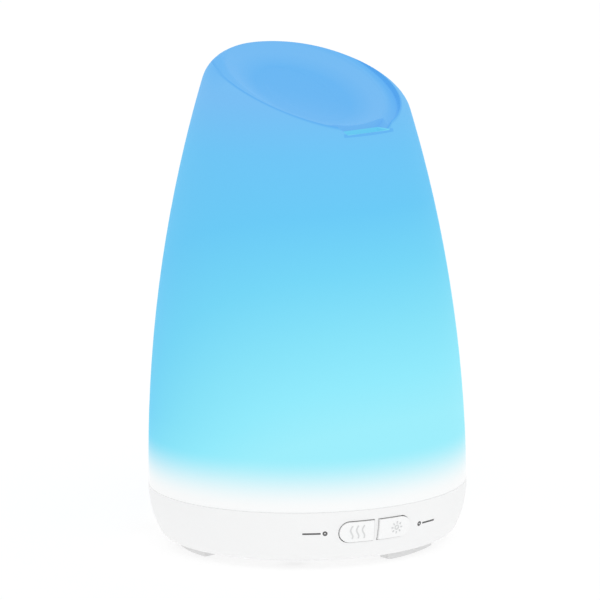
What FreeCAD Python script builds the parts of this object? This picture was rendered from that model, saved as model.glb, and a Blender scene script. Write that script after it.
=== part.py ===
import FreeCAD, Part
import math
import os

import Sketcher

# Cool mist humidifier, millimetres. The origin is on the floor under the middle of the base, +Z is up and
# the mist slot faces -Y. An azimuth is measured in degrees from -Y towards +X, so a place at radius r and
# azimuth a is (r sin a, -r cos a).

DOC = FreeCAD.newDocument("CoolMistHumidifier")
SHEET = DOC.addObject("Spreadsheet::Sheet", "Sizes")
V = FreeCAD.Vector
UP = V(0, 0, 1)
ALONG_X = V(1, 0, 0)

SIZES = (
    ("cover_radius", 44.6, "outer radius of the cover at the seam"),
    ("seam_height", 17.0, "top of the base shell"),
    ("seam_gap", 0.2, "gap between the cover and the base"),
    ("straight_top", 17.6, "height where the cover starts to curve in"),
    ("cover_curve", 381.0, "radius of the cover's side curve"),
    ("cover_wall", 2.2, "wall of the cover"),
    ("slant_height", 132.3, "height of the slanted top on the axis"),
    ("slant_angle", 20.0, "tilt of the slanted top"),
    ("shoulder_round", 7.6, "rounding of the top's edge"),
    ("dish_shift", 2.9, "dish centre, down the slope from the axis"),
    ("dish_end_reach", 2.9, "dish half length beyond the top's mean radius"),
    ("dish_side_margin", 2.7, "dish half width inside the top's mean radius"),
    ("dish_depth", 5.5, "depth of the dish below the slanted top"),
    ("ring_tilt", 2.6, "extra tilt of the sunken ring inside the dish's edge"),
    ("ring_depth", 1.35, "depth of that ring at the dish's middle"),
    ("ring_draft", 0.3, "widening of the step down to the ring"),
    ("bowl_shift", 1.0, "bowl's middle, up the slope from the dish's middle"),
    ("notch_width", 14.9, "width of the notch's floor in the low rim"),
    ("notch_slope", 50.0, "slope of the notch's sides"),
    ("notch_drop", 0.2, "notch floor below the ring's lowest point"),
    ("notch_round", 1.2, "corner rounding of the notch"),
    ("slot_width", 14.4, "width of the mist slot"),
    ("slot_depth", 5.2, "slot, measured out from the axis"),
    ("slot_lip", 1.4, "wall left outside the mist slot"),
    ("slot_reach", 12.0, "height of the slot's cutter below the notch"),
    ("base_step", 0.1, "base shell proud of the cover"),
    ("base_curve", 29.5, "radius of the base's side curve"),
    ("base_bottom", 2.5, "height of the base's underside"),
    ("base_round", 3.2, "rounding of the base's lower edge"),
    ("base_wall", 2.0, "wall of the base shell"),
    ("plate_radius", 37.0, "radius of the bottom cover"),
    ("plate_thick", 2.1, "thickness of the bottom cover"),
    ("plate_gap", 0.3, "gap round the bottom cover"),
    ("seat_width", 1.7, "width of the seat for the bottom cover"),
    ("seat_thick", 1.5, "thickness of that seat"),
    ("ledge_drop", 1.6, "ledge for the gasket below the seam"),
    ("ledge_width", 1.6, "width of the ledge"),
    ("ledge_thick", 1.0, "thickness of the ledge"),
    ("gasket_thick", 0.6, "thickness of the gasket"),
    ("fit_gap", 0.2, "gap between parts that seat in each other"),
    ("tank_gap", 0.8, "gap between the tank's skirt and the cover"),
    ("skirt_top", 28.0, "top of the tank's wide skirt"),
    ("skirt_step", 1.8, "tank wall inside the skirt"),
    ("tank_wall", 2.0, "wall of the tank"),
    ("tank_floor", 24.0, "underside of the tank's floor"),
    ("tank_top", 50.0, "rim of the tank"),
    ("lid_thick", 1.8, "plate of the inner lid"),
    ("lid_lip", 3.0, "depth of the lid's lip inside the tank"),
    ("chimney_radius", 11.0, "bore of the chimney at its foot"),
    ("chimney_top_radius", 8.5, "bore of the chimney at its top"),
    ("chimney_wall", 1.5, "wall of the chimney"),
    ("chimney_rise", 30.0, "height of the chimney above the lid"),
    ("lid_vent_radius", 3.0, "air hole in the inner lid"),
    ("foot_radius", 36.8, "outer radius of the feet"),
    ("foot_width", 3.6, "width of the feet"),
    ("foot_span", 32.0, "angle that one foot covers"),
    ("foot_azimuth", 14.8, "azimuth of the first foot"),
    ("foot_clear", 0.3, "foot above the floor"),
    ("pad_width", 2.2, "width of the rubber pads"),
    ("pad_span", 28.0, "angle that one pad covers"),
    ("pad_thick", 0.9, "thickness of the rubber pads"),
    ("post_ring", 32.3, "radius of the ring of screw posts"),
    ("post_radius", 2.8, "radius of a screw post"),
    ("screw_radius", 1.0, "shank of the case screws"),
    ("screw_gap", 0.05, "gap round a screw"),
    ("screw_length", 13.0, "length of the case screws"),
    ("head_radius", 2.3, "head of the case screws"),
    ("head_thick", 0.9, "height of that head"),
    ("button_azimuth", -12.9, "azimuth of the middle of the two buttons"),
    ("button_split", 0.271, "from the middle plane to a button's inner edge, at its seat"),
    ("button_height", 11.1, "height of the middle of the buttons"),
    ("button_width", 9.9, "width of one button"),
    ("button_tall", 5.8, "height of one button"),
    ("button_gap", 0.25, "gap round a button"),
    ("button_proud", 0.55, "button proud of the shell"),
    ("button_clear", 0.9, "flange inside the ledge"),
    ("flange_thick", 1.2, "thickness of that flange"),
    ("button_flange", 0.9, "flange that keeps the button in"),
    ("button_travel", 0.6, "travel of a button"),
    ("switch_clear", 0.5, "switch behind a pressed button"),
    ("switch_board_thick", 1.2, "thickness of the switch board"),
    ("switch_size", 4.5, "side of a tact switch"),
    ("switch_board_margin", 1.0, "switch board beyond the switches"),
    ("switch_depth", 2.6, "depth of a tact switch"),
    ("plunger_radius", 1.2, "radius of a switch plunger"),
    ("board_azimuth", -44.4, "azimuth of the main board"),
    ("board_gap", 0.4, "gap between the main board and the switch board"),
    ("board_height", 8.0, "underside of the main board"),
    ("board_thick", 1.6, "thickness of the boards"),
    ("board_edge", 1.0, "straight edge of the main board from the axis"),
    ("standoff_radius", 2.2, "radius of the main board's standoffs"),
    ("standoff_across", 24.0, "near standoffs to each side of the board's middle"),
    ("standoff_reach", 6.0, "near standoffs from the axis"),
    ("far_standoff_across", 12.0, "far standoffs to each side of the board's middle"),
    ("far_standoff_reach", 28.0, "far standoffs from the axis"),
    ("coil_across", 14.0, "inductor to the side of the board's middle"),
    ("coil_reach", 15.0, "inductor from the axis"),
    ("coil_ring", 4.6, "ring radius of the inductor"),
    ("coil_tube", 2.3, "tube radius of the inductor"),
    ("capacitor_across", 15.0, "capacitor to the side of the board's middle"),
    ("capacitor_reach", 20.0, "capacitor from the axis"),
    ("capacitor_radius", 3.2, "radius of the capacitor"),
    ("capacitor_tall", 7.0, "height of the capacitor"),
    ("sink_across", 4.0, "heat sink to the side of the board's middle"),
    ("sink_near", 10.0, "heat sink's near face from the axis"),
    ("sink_floor", 1.0, "floor under the heat sink's fins"),
    ("sink_back", 2.0, "back of the heat sink behind its fins"),
    ("fin_gap", 1.4, "gap between two fins"),
    ("fin_pitch", 3.0, "spacing of the fins"),
    ("transistor_wide", 6.5, "width of the transistor"),
    ("transistor_deep", 2.2, "thickness of the transistor"),
    ("transistor_tall", 6.0, "height of the transistor"),
    ("sink_wide", 12.0, "width of the heat sink"),
    ("sink_deep", 6.0, "depth of the heat sink"),
    ("sink_tall", 6.6, "height of the heat sink"),
    ("chip_across", 1.0, "control chip to the side of the board's middle"),
    ("chip_near", 21.0, "control chip's near side from the axis"),
    ("chip_side", 7.0, "side of the control chip"),
    ("chip_thick", 1.5, "thickness of the control chip"),
    ("plug_wide", 5.0, "width of a board connector"),
    ("plug_deep", 4.0, "depth of a board connector"),
    ("plug_tall", 4.2, "height of a board connector"),
    ("led_board_inner", 29.0, "inner radius of the lamp ring board"),
    ("led_board_outer", 38.4, "outer radius of the lamp ring board"),
    ("led_board_height", 18.8, "underside of the lamp ring board"),
    ("led_board_thick", 1.2, "thickness of the lamp ring board"),
    ("led_shift", 0.4, "lamps outside the middle of their board"),
    ("led_azimuth", 28.0, "first lamp's azimuth from the first screw post"),
    ("led_pipe_gap", 1.0, "gap between the lamp board and the duct's collar"),
    ("led_side", 5.0, "side of one lamp"),
    ("led_tall", 1.4, "height of one lamp"),
    ("piezo_radius", 10.0, "radius of the mist disc"),
    ("piezo_thick", 1.2, "thickness of the mist disc"),
    ("well_radius", 8.4, "opening in the tank's floor over the disc"),
    ("seal_radius", 12.0, "outer radius of the disc's seal"),
    ("seal_thick", 2.6, "thickness of the disc's seal"),
    ("retainer_radius", 17.0, "outer radius of the retainer plate"),
    ("retainer_thick", 1.0, "thickness of the retainer plate"),
    ("retainer_ring", 14.4, "ring of the retainer's screws"),
    ("small_screw_radius", 0.8, "shank of the small screws"),
    ("small_head_radius", 1.6, "head of the small screws"),
    ("small_head_thick", 0.7, "height of that head"),
    ("small_screw_length", 3.0, "length of the small screws"),
    ("fan_azimuth", 135.6, "azimuth of the fan"),
    ("fan_offset", 17.0, "fan's axis from the middle"),
    ("fan_side", 30.0, "side of the fan's frame"),
    ("fan_bottom", 5.2, "underside of the fan"),
    ("fan_tall", 7.5, "height of the fan"),
    ("fan_bore", 13.6, "radius of the fan's bore"),
    ("fan_hub", 5.5, "radius of the fan's hub"),
    ("fan_blade_reach", 12.5, "reach of the fan's blades"),
    ("fan_blade_lean", 2.6, "sideways lean of a blade"),
    ("fan_blade_thick", 1.0, "thickness of a blade"),
    ("fan_blade_tall", 4.2, "height of a blade"),
    ("fan_floor", 1.2, "struts and motor plate of the fan"),
    ("strut_end", 1.0, "struts short of the fan frame's outside"),
    ("motor_plate_lip", 0.5, "motor plate beyond the hub"),
    ("hub_clear", 0.4, "hub above the motor plate and above the blades"),
    ("blade_clear", 1.0, "blades above the struts"),
    ("fan_post_radius", 2.0, "radius of the posts under the fan"),
    ("fan_bore_depth", 1.2, "screw hole below those posts"),
    ("fan_shaft", 1.0, "radius of the fan's shaft"),
    ("running_gap", 0.05, "clearance round the fan's shaft"),
    ("fan_screw_ring", 12.8, "fan screws from the fan's axis, each way"),
    ("duct_tall", 4.6, "height of the air duct"),
    ("duct_wall", 1.2, "wall of the air duct"),
    ("pipe_offset", 27.5, "air pipe from the middle"),
    ("pipe_radius", 5.0, "outer radius of the air pipe"),
    ("pipe_wall", 1.2, "wall of the air pipe"),
    ("pipe_top_gap", 4.0, "air pipe below the tank's rim"),
    ("collar_wall", 1.1, "wall of the duct's collar"),
    ("collar_tall", 2.6, "height of the duct's collar"),
    ("jack_azimuth", -146.2, "azimuth of the power inlet"),
    ("jack_height", 10.6, "height of the power inlet's middle"),
    ("jack_side", 9.0, "width and height of the inlet's body"),
    ("jack_length", 11.0, "length of the inlet's body"),
    ("jack_nose", 3.7, "radius of the inlet's nose"),
    ("jack_bore", 2.75, "bore of the inlet"),
    ("jack_bore_depth", 9.0, "depth of that bore"),
    ("jack_pin", 1.0, "radius of the inlet's pin"),
    ("jack_shoulder", 2.2, "inlet's body inside the shell's wall"),
    ("jack_pin_recess", 1.0, "inlet's pin inside its face"),
    ("jack_tail_room", 4.0, "room behind the inlet's body"),
    ("jack_recess", 0.9, "inlet's face inside the shell's surface"),
    ("grille_slot", 1.6, "width of a vent slot"),
    ("grille_pitch", 3.4, "spacing of the vent slots"),
    ("grille_margin", 1.0, "vent slots inside the fan's bore"),
    ("level_post_radius", 1.3, "radius of the water level pins"),
    ("level_post_top", 31.0, "top of the water level pins"),
    ("level_post_drop", 2.0, "level pins below the tank's floor"),
    ("level_post_ring", 23.0, "radius of the ring that the level pins stand on"),
    ("level_post_spread", 12.0, "each level pin's azimuth from the main board's"),
)

POSTS = 3
FEET = 3
BLADES = 7
RETAINER_SCREWS = 3
VENT_SLOTS = 7
FIN_GAPS = 4
LAMPS = 6

# How far a cutter runs past the face that it cuts.
OVER = 1.0
# Slack when an edge is picked by its place.
TOUCH = 0.01


class Dim:
    """A size: its value now, and the formula that ties it to the sheet."""

    def __init__(self, value, text):
        self.value = float(value)
        self.text = text

    def join(self, sign, other, value):
        return Dim(value, f"({self.text} {sign} {other.text})")

    def __add__(self, other):
        other = as_dim(other)
        return self.join("+", other, self.value + other.value)

    def __sub__(self, other):
        other = as_dim(other)
        return self.join("-", other, self.value - other.value)

    def __mul__(self, other):
        other = as_dim(other)
        return self.join("*", other, self.value * other.value)

    def __truediv__(self, other):
        other = as_dim(other)
        return self.join("/", other, self.value / other.value)

    def __neg__(self):
        return Dim(-self.value, f"(0 - {self.text})")

    def __radd__(self, other):
        return as_dim(other) + self

    def __rsub__(self, other):
        return as_dim(other) - self

    __rmul__ = __mul__


def as_dim(number):
    return number if isinstance(number, Dim) else Dim(number, repr(float(number)))


def sine(angle):
    angle = as_dim(angle)
    return Dim(math.sin(math.radians(angle.value)), f"sin({angle.text} * 1 deg)")


def cosine(angle):
    angle = as_dim(angle)
    return Dim(math.cos(math.radians(angle.value)), f"cos({angle.text} * 1 deg)")


def arc_tangent(ratio):
    """Angle in degrees whose tangent is a ratio."""
    return Dim(math.degrees(math.atan(ratio.value)), f"(atan({ratio.text}) / 1 deg)")


def root(number):
    return Dim(math.sqrt(number.value), f"sqrt({number.text})")


class Sizes:
    """The driving dimensions, each one a Dim named as in the sheet."""


def fill_sheet():
    """Write the driving dimensions into the sheet and return them as Dims."""
    sizes = Sizes()
    for row, (alias, value, meaning) in enumerate(SIZES, start=1):
        SHEET.set(f"A{row}", meaning)
        SHEET.set(f"B{row}", str(value))
        SHEET.setAlias(f"B{row}", alias)
        setattr(sizes, alias, Dim(value, f"Sizes.{alias}"))
    DOC.recompute()
    return sizes


S = fill_sheet()

# Worked-out sizes that several pieces share.
COVER_BOTTOM = S.seam_height + S.seam_gap
SKIRT_RADIUS = S.cover_radius - S.cover_wall - S.tank_gap
TANK_RADIUS = SKIRT_RADIUS - S.skirt_step
BOWL_RADIUS = TANK_RADIUS - S.tank_wall
BOWL_FLOOR = S.tank_floor + S.tank_wall
BASE_RADIUS = S.cover_radius + S.base_step
BASE_CENTRE = BASE_RADIUS - S.base_curve
BASE_INNER_CURVE = S.base_curve - S.base_wall
PLATE_TOP = S.base_bottom + S.plate_thick
LEDGE_RADIUS = BASE_RADIUS - S.base_wall
LEDGE_HEIGHT = S.seam_height - S.ledge_drop
FAN_TOP = S.fan_bottom + S.fan_tall
DUCT_TOP = FAN_TOP + S.duct_tall
BOARD_TOP = S.board_height + S.board_thick
SEAL_BOTTOM = S.tank_floor - S.seal_thick
RETAINER_BOTTOM = SEAL_BOTTOM - S.retainer_thick
POST_AZIMUTH = S.foot_azimuth + 60


def cover_sag(height):
    """How far the cover has curved in at a height."""
    rise = height - S.straight_top
    return S.cover_curve - root(S.cover_curve * S.cover_curve - rise * rise)


def base_reach(height, curve):
    """Radius of one of the base's side curves at a height."""
    drop = S.seam_height - height
    return BASE_CENTRE + root(curve * curve - drop * drop)


TOP_RADIUS = S.cover_radius - cover_sag(S.slant_height)
DISH_LENGTH = TOP_RADIUS + S.dish_end_reach
DISH_WIDTH = TOP_RADIUS - S.dish_side_margin
RING_TILT = S.slant_angle + S.ring_tilt
RING_Y = S.ring_depth * sine(S.slant_angle) - S.dish_shift * cosine(S.slant_angle)
RING_Z = S.slant_height - S.dish_shift * sine(S.slant_angle) - S.ring_depth * cosine(S.slant_angle)
NOTCH_FLOOR = RING_Z - DISH_LENGTH * sine(RING_TILT) - S.notch_drop
NOTCH_WALL = S.cover_radius - cover_sag(NOTCH_FLOOR)
SLOT_OUTER = NOTCH_WALL - S.slot_lip
SLOT_INNER = SLOT_OUTER - S.slot_depth


def bind(item, field, dim):
    item.setExpression(field, as_dim(dim).text)


def place(item, x=0, y=0, z=0, yaw=None, tilt=None):
    """Tie an object's place, and its turn about Z or about X, to the sheet."""
    if tilt is not None:
        item.Placement = FreeCAD.Placement(V(), FreeCAD.Rotation(ALONG_X, as_dim(tilt).value))
        bind(item, "Placement.Rotation.Angle", tilt)
    if yaw is not None:
        item.Placement = FreeCAD.Placement(V(), FreeCAD.Rotation(UP, 1))
        bind(item, "Placement.Rotation.Angle", yaw)
    for field, dim in zip("xyz", (x, y, z)):
        bind(item, "Placement.Base." + field, dim)
    return item


def polar(radius, azimuth):
    return radius * sine(azimuth), -(radius * cosine(azimuth))


def turned(item, azimuth):
    """Turn a piece drawn facing -Y round the Z axis to its azimuth."""
    return place(item, yaw=azimuth)


def named(item, label):
    item.Label = label
    return item


def primitive(kind, name, sizes, x=0, y=0, z=0, **turn):
    item = DOC.addObject("Part::" + kind, name)
    for field, dim in sizes.items():
        bind(item, field, dim)
    return place(item, x, y, z, **turn)


def cylinder(name, radius, bottom, top, x=0, y=0):
    return primitive("Cylinder", name, {"Radius": radius, "Height": top - bottom}, x, y, bottom)


def spoke(name, radius, inner, outer, height, x=0):
    """A cylinder that lies along -Y, from one distance to another."""
    sizes = {"Radius": radius, "Height": outer - inner}
    return primitive("Cylinder", name, sizes, x, -inner, height, tilt=90)


def block(name, wide, near, far, bottom, top, x=0):
    """A box centred on x that runs along -Y from one distance to another."""
    sizes = {"Length": wide, "Width": far - near, "Height": top - bottom}
    return primitive("Box", name, sizes, x - wide / 2, -far, bottom)


def cut(name, base, *tools):
    """Take each tool away from the base."""
    for index, tool in enumerate(tools):
        item = DOC.addObject("Part::Cut", f"{name}Cut{index}")
        item.Base = base
        item.Tool = tool
        base = item
    return base


def fuse(name, *pieces):
    item = DOC.addObject("Part::MultiFuse", name + "Fuse")
    item.Shapes = list(pieces)
    return item


def common(name, *pieces):
    item = DOC.addObject("Part::MultiCommon", name + "Common")
    item.Shapes = list(pieces)
    return item


def group(name, *pieces):
    """Separate solids that share one node."""
    item = DOC.addObject("Part::Compound", name + "Group")
    item.Links = list(pieces)
    return item


def ring(name, inner, outer, bottom, top):
    return cut(name, cylinder(name + "Outer", outer, bottom, top), cylinder(name + "Inner", inner, bottom, top))


def sector(name, inner, outer, bottom, top, span, azimuth):
    """Part of a ring, centred on an azimuth."""
    solids = []
    for side, radius in (("Outer", outer), ("Inner", inner)):
        sizes = {"Radius": radius, "Height": top - bottom, "Angle": span}
        start = azimuth - 90 - span / 2
        solids.append(primitive("Cylinder", name + side, sizes, z=bottom, yaw=start))
    return cut(name, *solids)


def arc_middle(start, end, radius, side):
    """Middle point of an arc that bulges to one side of its chord."""
    chord = end - start
    sagitta = radius - math.sqrt(radius * radius - chord.Length * chord.Length / 4)
    normal = V(-chord.y, chord.x, 0).normalize()
    return (start + end) * 0.5 + normal * (sagitta * side)


def outline(body, name, role, corners, arcs=None):
    """A closed sketch on one of the body's planes. An arc replaces the side that leaves its corner."""
    arcs = arcs or {}
    sketch = body.newObject("Sketcher::SketchObject", name)
    plane = next(item for item in body.Origin.OriginFeatures if item.Role == role)
    sketch.AttachmentSupport = [(plane, "")]
    sketch.MapMode = "FlatFace"
    points = [V(as_dim(across).value, as_dim(up).value, 0) for across, up in corners]
    ends = []
    for index, start in enumerate(points):
        end = points[(index + 1) % len(points)]
        if index in arcs:
            radius, side = arcs[index]
            curve = Part.Arc(start, arc_middle(start, end, radius.value, side), end)
            sketch.addGeometry(curve)
            swapped = (sketch.getPoint(index, 1) - start).Length > (sketch.getPoint(index, 2) - start).Length
            ends.append((2, 1) if swapped else (1, 2))
        else:
            sketch.addGeometry(Part.LineSegment(start, end))
            ends.append((1, 2))
    for index in range(len(points)):
        after = (index + 1) % len(points)
        sketch.addConstraint(Sketcher.Constraint("Coincident", index, ends[index][1], after, ends[after][0]))
    for index, (across, up) in enumerate(corners):
        for kind, dim, axis in (("DistanceX", across, -2), ("DistanceY", up, -1)):
            tie(sketch, kind, index, ends[index][0], as_dim(dim), axis)
    for index, (radius, side) in arcs.items():
        row = sketch.addConstraint(Sketcher.Constraint("Radius", index, radius.value))
        bind(sketch, f"Constraints[{row}]", radius)
    return sketch


def tie(sketch, kind, index, end, dim, axis):
    """Hold one coordinate of a sketch point, on its axis where it is zero."""
    if dim.value == 0:
        sketch.addConstraint(Sketcher.Constraint("PointOnObject", index, end, axis))
        return
    row = sketch.addConstraint(Sketcher.Constraint(kind, -1, 1, index, end, dim.value))
    bind(sketch, f"Constraints[{row}]", dim)


def revolved(name, corners, arcs=None):
    """A body turned round the Z axis from its half section."""
    body = DOC.addObject("PartDesign::Body", name)
    sketch = outline(body, name + "Section", "XZ_Plane", corners, arcs)
    turn = body.newObject("PartDesign::Revolution", name + "Turn")
    turn.Profile = sketch
    turn.ReferenceAxis = (sketch, ["V_Axis"])
    turn.Angle = 360
    return body


def slant_cut(body, name, height):
    """Cut a body off along the slanted plane that crosses the axis at a height."""
    reach = S.cover_radius * 2
    rise = reach * sine(S.slant_angle) / cosine(S.slant_angle)
    top = S.slant_height * 2
    corners = ((-reach, height - rise), (reach, height + rise), (reach, top), (-reach, top))
    sketch = outline(body, name + "Slant", "YZ_Plane", corners)
    pocket = body.newObject("PartDesign::Pocket", name + "Pocket")
    pocket.Profile = sketch
    pocket.Type = "ThroughAll"
    pocket.Midplane = True
    DOC.recompute()
    return pocket


def round_edges(body, name, base, wanted, radius):
    """Round the edges of a body's last feature that a test picks."""
    DOC.recompute()
    picked = [f"Edge{i}" for i, edge in enumerate(base.Shape.Edges, start=1) if wanted(edge)]
    fillet = body.newObject("PartDesign::Fillet", name)
    fillet.Base = (base, picked)
    bind(fillet, "Radius", radius)
    DOC.recompute()
    return fillet


# ---------------------------------------------------------------- covers and tank

def cover_section(name, inset):
    """The cover's half section, drawn in by an inset and open to the top."""
    top = S.slant_height + S.cover_radius / 2
    curve = S.cover_curve - inset
    side = S.cover_radius - inset
    drop = top - S.straight_top
    corners = ((0, COVER_BOTTOM), (side, COVER_BOTTOM), (side, S.straight_top),
               (side - curve + root(curve * curve - drop * drop), top), (0, top))
    return revolved(name, corners, {2: (curve, -1)})


def dish_loft(name, shift, steps, ruled):
    """Solid through ovals that share the dish's outline. Each has a height over the ring and an inset."""
    ovals = []
    for index, (rise, inset) in enumerate(steps):
        sizes = {"MajorRadius": DISH_LENGTH - inset, "MinorRadius": DISH_WIDTH - inset}
        ovals.append(primitive("Ellipse", f"{name}Oval{index}", sizes, 0, shift, rise, yaw=90))
    loft = DOC.addObject("Part::Loft", name)
    loft.Sections = ovals
    loft.Solid = True
    loft.Ruled = ruled
    return place(loft, y=RING_Y, z=RING_Z, tilt=RING_TILT)


def make_dish():
    """Tools for the dish: a step down to a sunken ring, and a soft bowl inside the ring."""
    step = dish_loft("DishStep", 0, ((0, 0), (S.shoulder_round, -S.ring_draft)), True)
    deep = S.dish_depth - S.ring_depth
    shares = ((-0.10, 0.6), (0.03, 0.8), (0.31, 1.3), (0.66, 1.95), (0.91, 2.8), (0.98, 3.8))
    steps = [(-(deep * down), deep * inset) for down, inset in shares]
    return step, dish_loft("DishBowl", S.bowl_shift, steps, False)


def make_notch():
    """Tool for the notch in the low rim: sloping sides and rounded lower corners, open to the outside."""
    body = DOC.addObject("PartDesign::Body", "NotchTool")
    half = S.notch_width / 2
    tall = S.slant_height / 4
    flare = half + tall * cosine(S.notch_slope) / sine(S.notch_slope)
    corners = ((-half, 0), (half, 0), (flare, tall), (-flare, tall))
    sketch = outline(body, "NotchSection", "XZ_Plane", corners)
    pad = body.newObject("PartDesign::Pad", "NotchPad")
    pad.Profile = sketch
    bind(pad, "Length", S.cover_radius - SLOT_INNER)
    DOC.recompute()
    round_edges(body, "NotchRound", pad, lambda edge: abs(edge.tangentAt(edge.FirstParameter).y) > 0.9
                and edge.BoundBox.ZMax < TOUCH, S.notch_round)
    return place(body, y=-SLOT_INNER, z=NOTCH_FLOOR)


def make_cover():
    blank = cover_section("CoverBlank", as_dim(0))
    slant = slant_cut(blank, "CoverBlank", S.slant_height)
    top_edge = S.slant_height.value - S.cover_radius.value
    round_edges(blank, "ShoulderRound", slant, lambda edge: edge.BoundBox.ZMin > top_edge
                and edge.BoundBox.XLength > S.cover_radius.value, S.shoulder_round)
    hollow = cover_section("CoverHollow", S.cover_wall)
    slant_cut(hollow, "CoverHollow",
              S.slant_height - (S.dish_depth + S.cover_wall) / cosine(S.slant_angle))
    low = NOTCH_FLOOR - S.slot_reach
    high = NOTCH_FLOOR + OVER
    slot = common("MistSlot", block("SlotBlock", S.slot_width, SLOT_INNER, S.cover_radius, low, high),
                  cylinder("SlotLimit", SLOT_OUTER, low, high))
    return named(cut("Cover", blank, hollow, *make_dish(), make_notch(), slot), "cover")


def make_inner_lid():
    """Plate on the tank's rim with a lip inside it, a tapering chimney and an air hole."""
    top = S.tank_top + S.lid_thick
    lip = BOWL_RADIUS - S.fit_gap
    foot = S.chimney_radius + S.chimney_wall
    head = S.chimney_top_radius + S.chimney_wall
    corners = ((S.chimney_radius, S.tank_top), (lip - S.chimney_wall, S.tank_top),
               (lip - S.chimney_wall, S.tank_top - S.lid_lip), (lip, S.tank_top - S.lid_lip),
               (lip, S.tank_top), (TANK_RADIUS, S.tank_top), (TANK_RADIUS, top), (foot, top),
               (head, top + S.chimney_rise), (S.chimney_top_radius, top + S.chimney_rise))
    lid = revolved("LidBody", corners)
    x, y = air_pipe_place()
    vent = cylinder("LidVent", S.lid_vent_radius, S.tank_top - OVER, top + OVER, -x, -y)
    return named(cut("InnerLid", lid, vent), "inner_lid")


def air_pipe_place():
    return polar(S.pipe_offset, S.fan_azimuth)


def post_places():
    return [polar(S.post_ring, POST_AZIMUTH + 360 / POSTS * index) for index in range(POSTS)]


def retainer_places():
    return [polar(S.retainer_ring, S.fan_azimuth + 60 + 360 / RETAINER_SCREWS * i) for i in range(RETAINER_SCREWS)]


def make_water_tank():
    """Basin with a wide skirt that seats on the base, three screw posts, the air pipe and the disc's well."""
    flange = LEDGE_RADIUS - S.fit_gap
    flange_bottom = LEDGE_HEIGHT + S.gasket_thick
    corners = ((0, BOWL_FLOOR), (BOWL_RADIUS, BOWL_FLOOR), (BOWL_RADIUS, S.tank_top), (TANK_RADIUS, S.tank_top),
               (TANK_RADIUS, S.skirt_top + S.skirt_step), (SKIRT_RADIUS, S.skirt_top),
               (SKIRT_RADIUS, S.seam_height), (flange, S.seam_height), (flange, flange_bottom),
               (TANK_RADIUS, flange_bottom), (TANK_RADIUS, S.tank_floor), (0, S.tank_floor))
    solids = [revolved("TankBowl", corners)]
    holes = [cylinder("TankWell", S.well_radius, S.tank_floor - OVER, BOWL_FLOOR + OVER)]
    x, y = air_pipe_place()
    solids.append(cylinder("AirPipe", S.pipe_radius, DUCT_TOP + S.fit_gap, S.tank_top - S.pipe_top_gap, x, y))
    holes.append(cylinder("AirBore", S.pipe_radius - S.pipe_wall, DUCT_TOP - OVER, S.tank_top, x, y))
    for index, (x, y) in enumerate(post_places()):
        solids.append(cylinder(f"Post{index}", S.post_radius, PLATE_TOP, S.tank_floor, x, y))
        holes.append(cylinder(f"PostBore{index}", S.screw_radius + S.screw_gap, PLATE_TOP - OVER,
                              S.base_bottom + S.head_thick + S.screw_length + OVER, x, y))
    solids.append(ring("SealRim", S.seal_radius + S.fit_gap, S.retainer_radius, SEAL_BOTTOM, S.tank_floor))
    for index, (x, y) in enumerate(retainer_places()):
        holes.append(cylinder(f"RetainerBore{index}", S.small_screw_radius + S.screw_gap, SEAL_BOTTOM - OVER,
                              SEAL_BOTTOM + S.small_screw_length, x, y))
    for side in (-1, 1):
        x, y = level_place(side)
        holes.append(cylinder(f"LevelHole{side + 1}", S.level_post_radius + S.screw_gap,
                              S.tank_floor - OVER, BOWL_FLOOR + OVER, x, y))
    return named(cut("WaterTank", fuse("WaterTank", *solids), *holes), "water_tank")


def level_place(side):
    return polar(S.level_post_ring, S.board_azimuth + S.level_post_spread * side)


def make_level_pins():
    """Two metal pins through the tank's floor that sense the water."""
    pins = []
    for side in (-1, 1):
        x, y = level_place(side)
        pins.append(cylinder(f"LevelPin{side + 1}", S.level_post_radius, S.tank_floor - S.level_post_drop,
                             S.level_post_top, x, y))
    return named(group("LevelPins", *pins), "water_level_pins")


def make_tank_gasket():
    outer = LEDGE_RADIUS - S.fit_gap
    inner = LEDGE_RADIUS - S.ledge_width
    return named(ring("Gasket", inner, outer, LEDGE_HEIGHT, LEDGE_HEIGHT + S.gasket_thick), "tank_gasket")


# ---------------------------------------------------------------- base

BUTTON_SEAT = LEDGE_RADIUS - S.ledge_width - S.button_clear
BUTTON_TURN = arc_tangent((S.button_width / 2 + S.button_split) / BUTTON_SEAT)


def button_azimuth(side):
    return S.button_azimuth + BUTTON_TURN * side


def pill(name, side, grow, near, far):
    """Half of a pill seen from outside: round at its outer end, square at the inner end."""
    tall = S.button_tall + grow * 2
    wide = S.button_width + grow * 2
    centre = (wide - tall) / 2 * side
    bar = block(name + "Bar", wide - tall / 2, near, far, S.button_height - tall / 2,
                S.button_height + tall / 2, -(tall / 4) * side)
    end = spoke(name + "End", tall / 2, near, far, S.button_height, centre)
    return fuse(name, bar, end)


def base_skin(name, grow):
    """Solid inside the base's side curve, grown outwards."""
    curve = S.base_curve + grow
    top = S.seam_height
    reach = base_reach(S.base_bottom, curve)
    corners = ((0, S.base_bottom), (reach, S.base_bottom), (BASE_CENTRE + curve, top), (0, top))
    return revolved(name, corners, {1: (curve, -1)})


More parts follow.
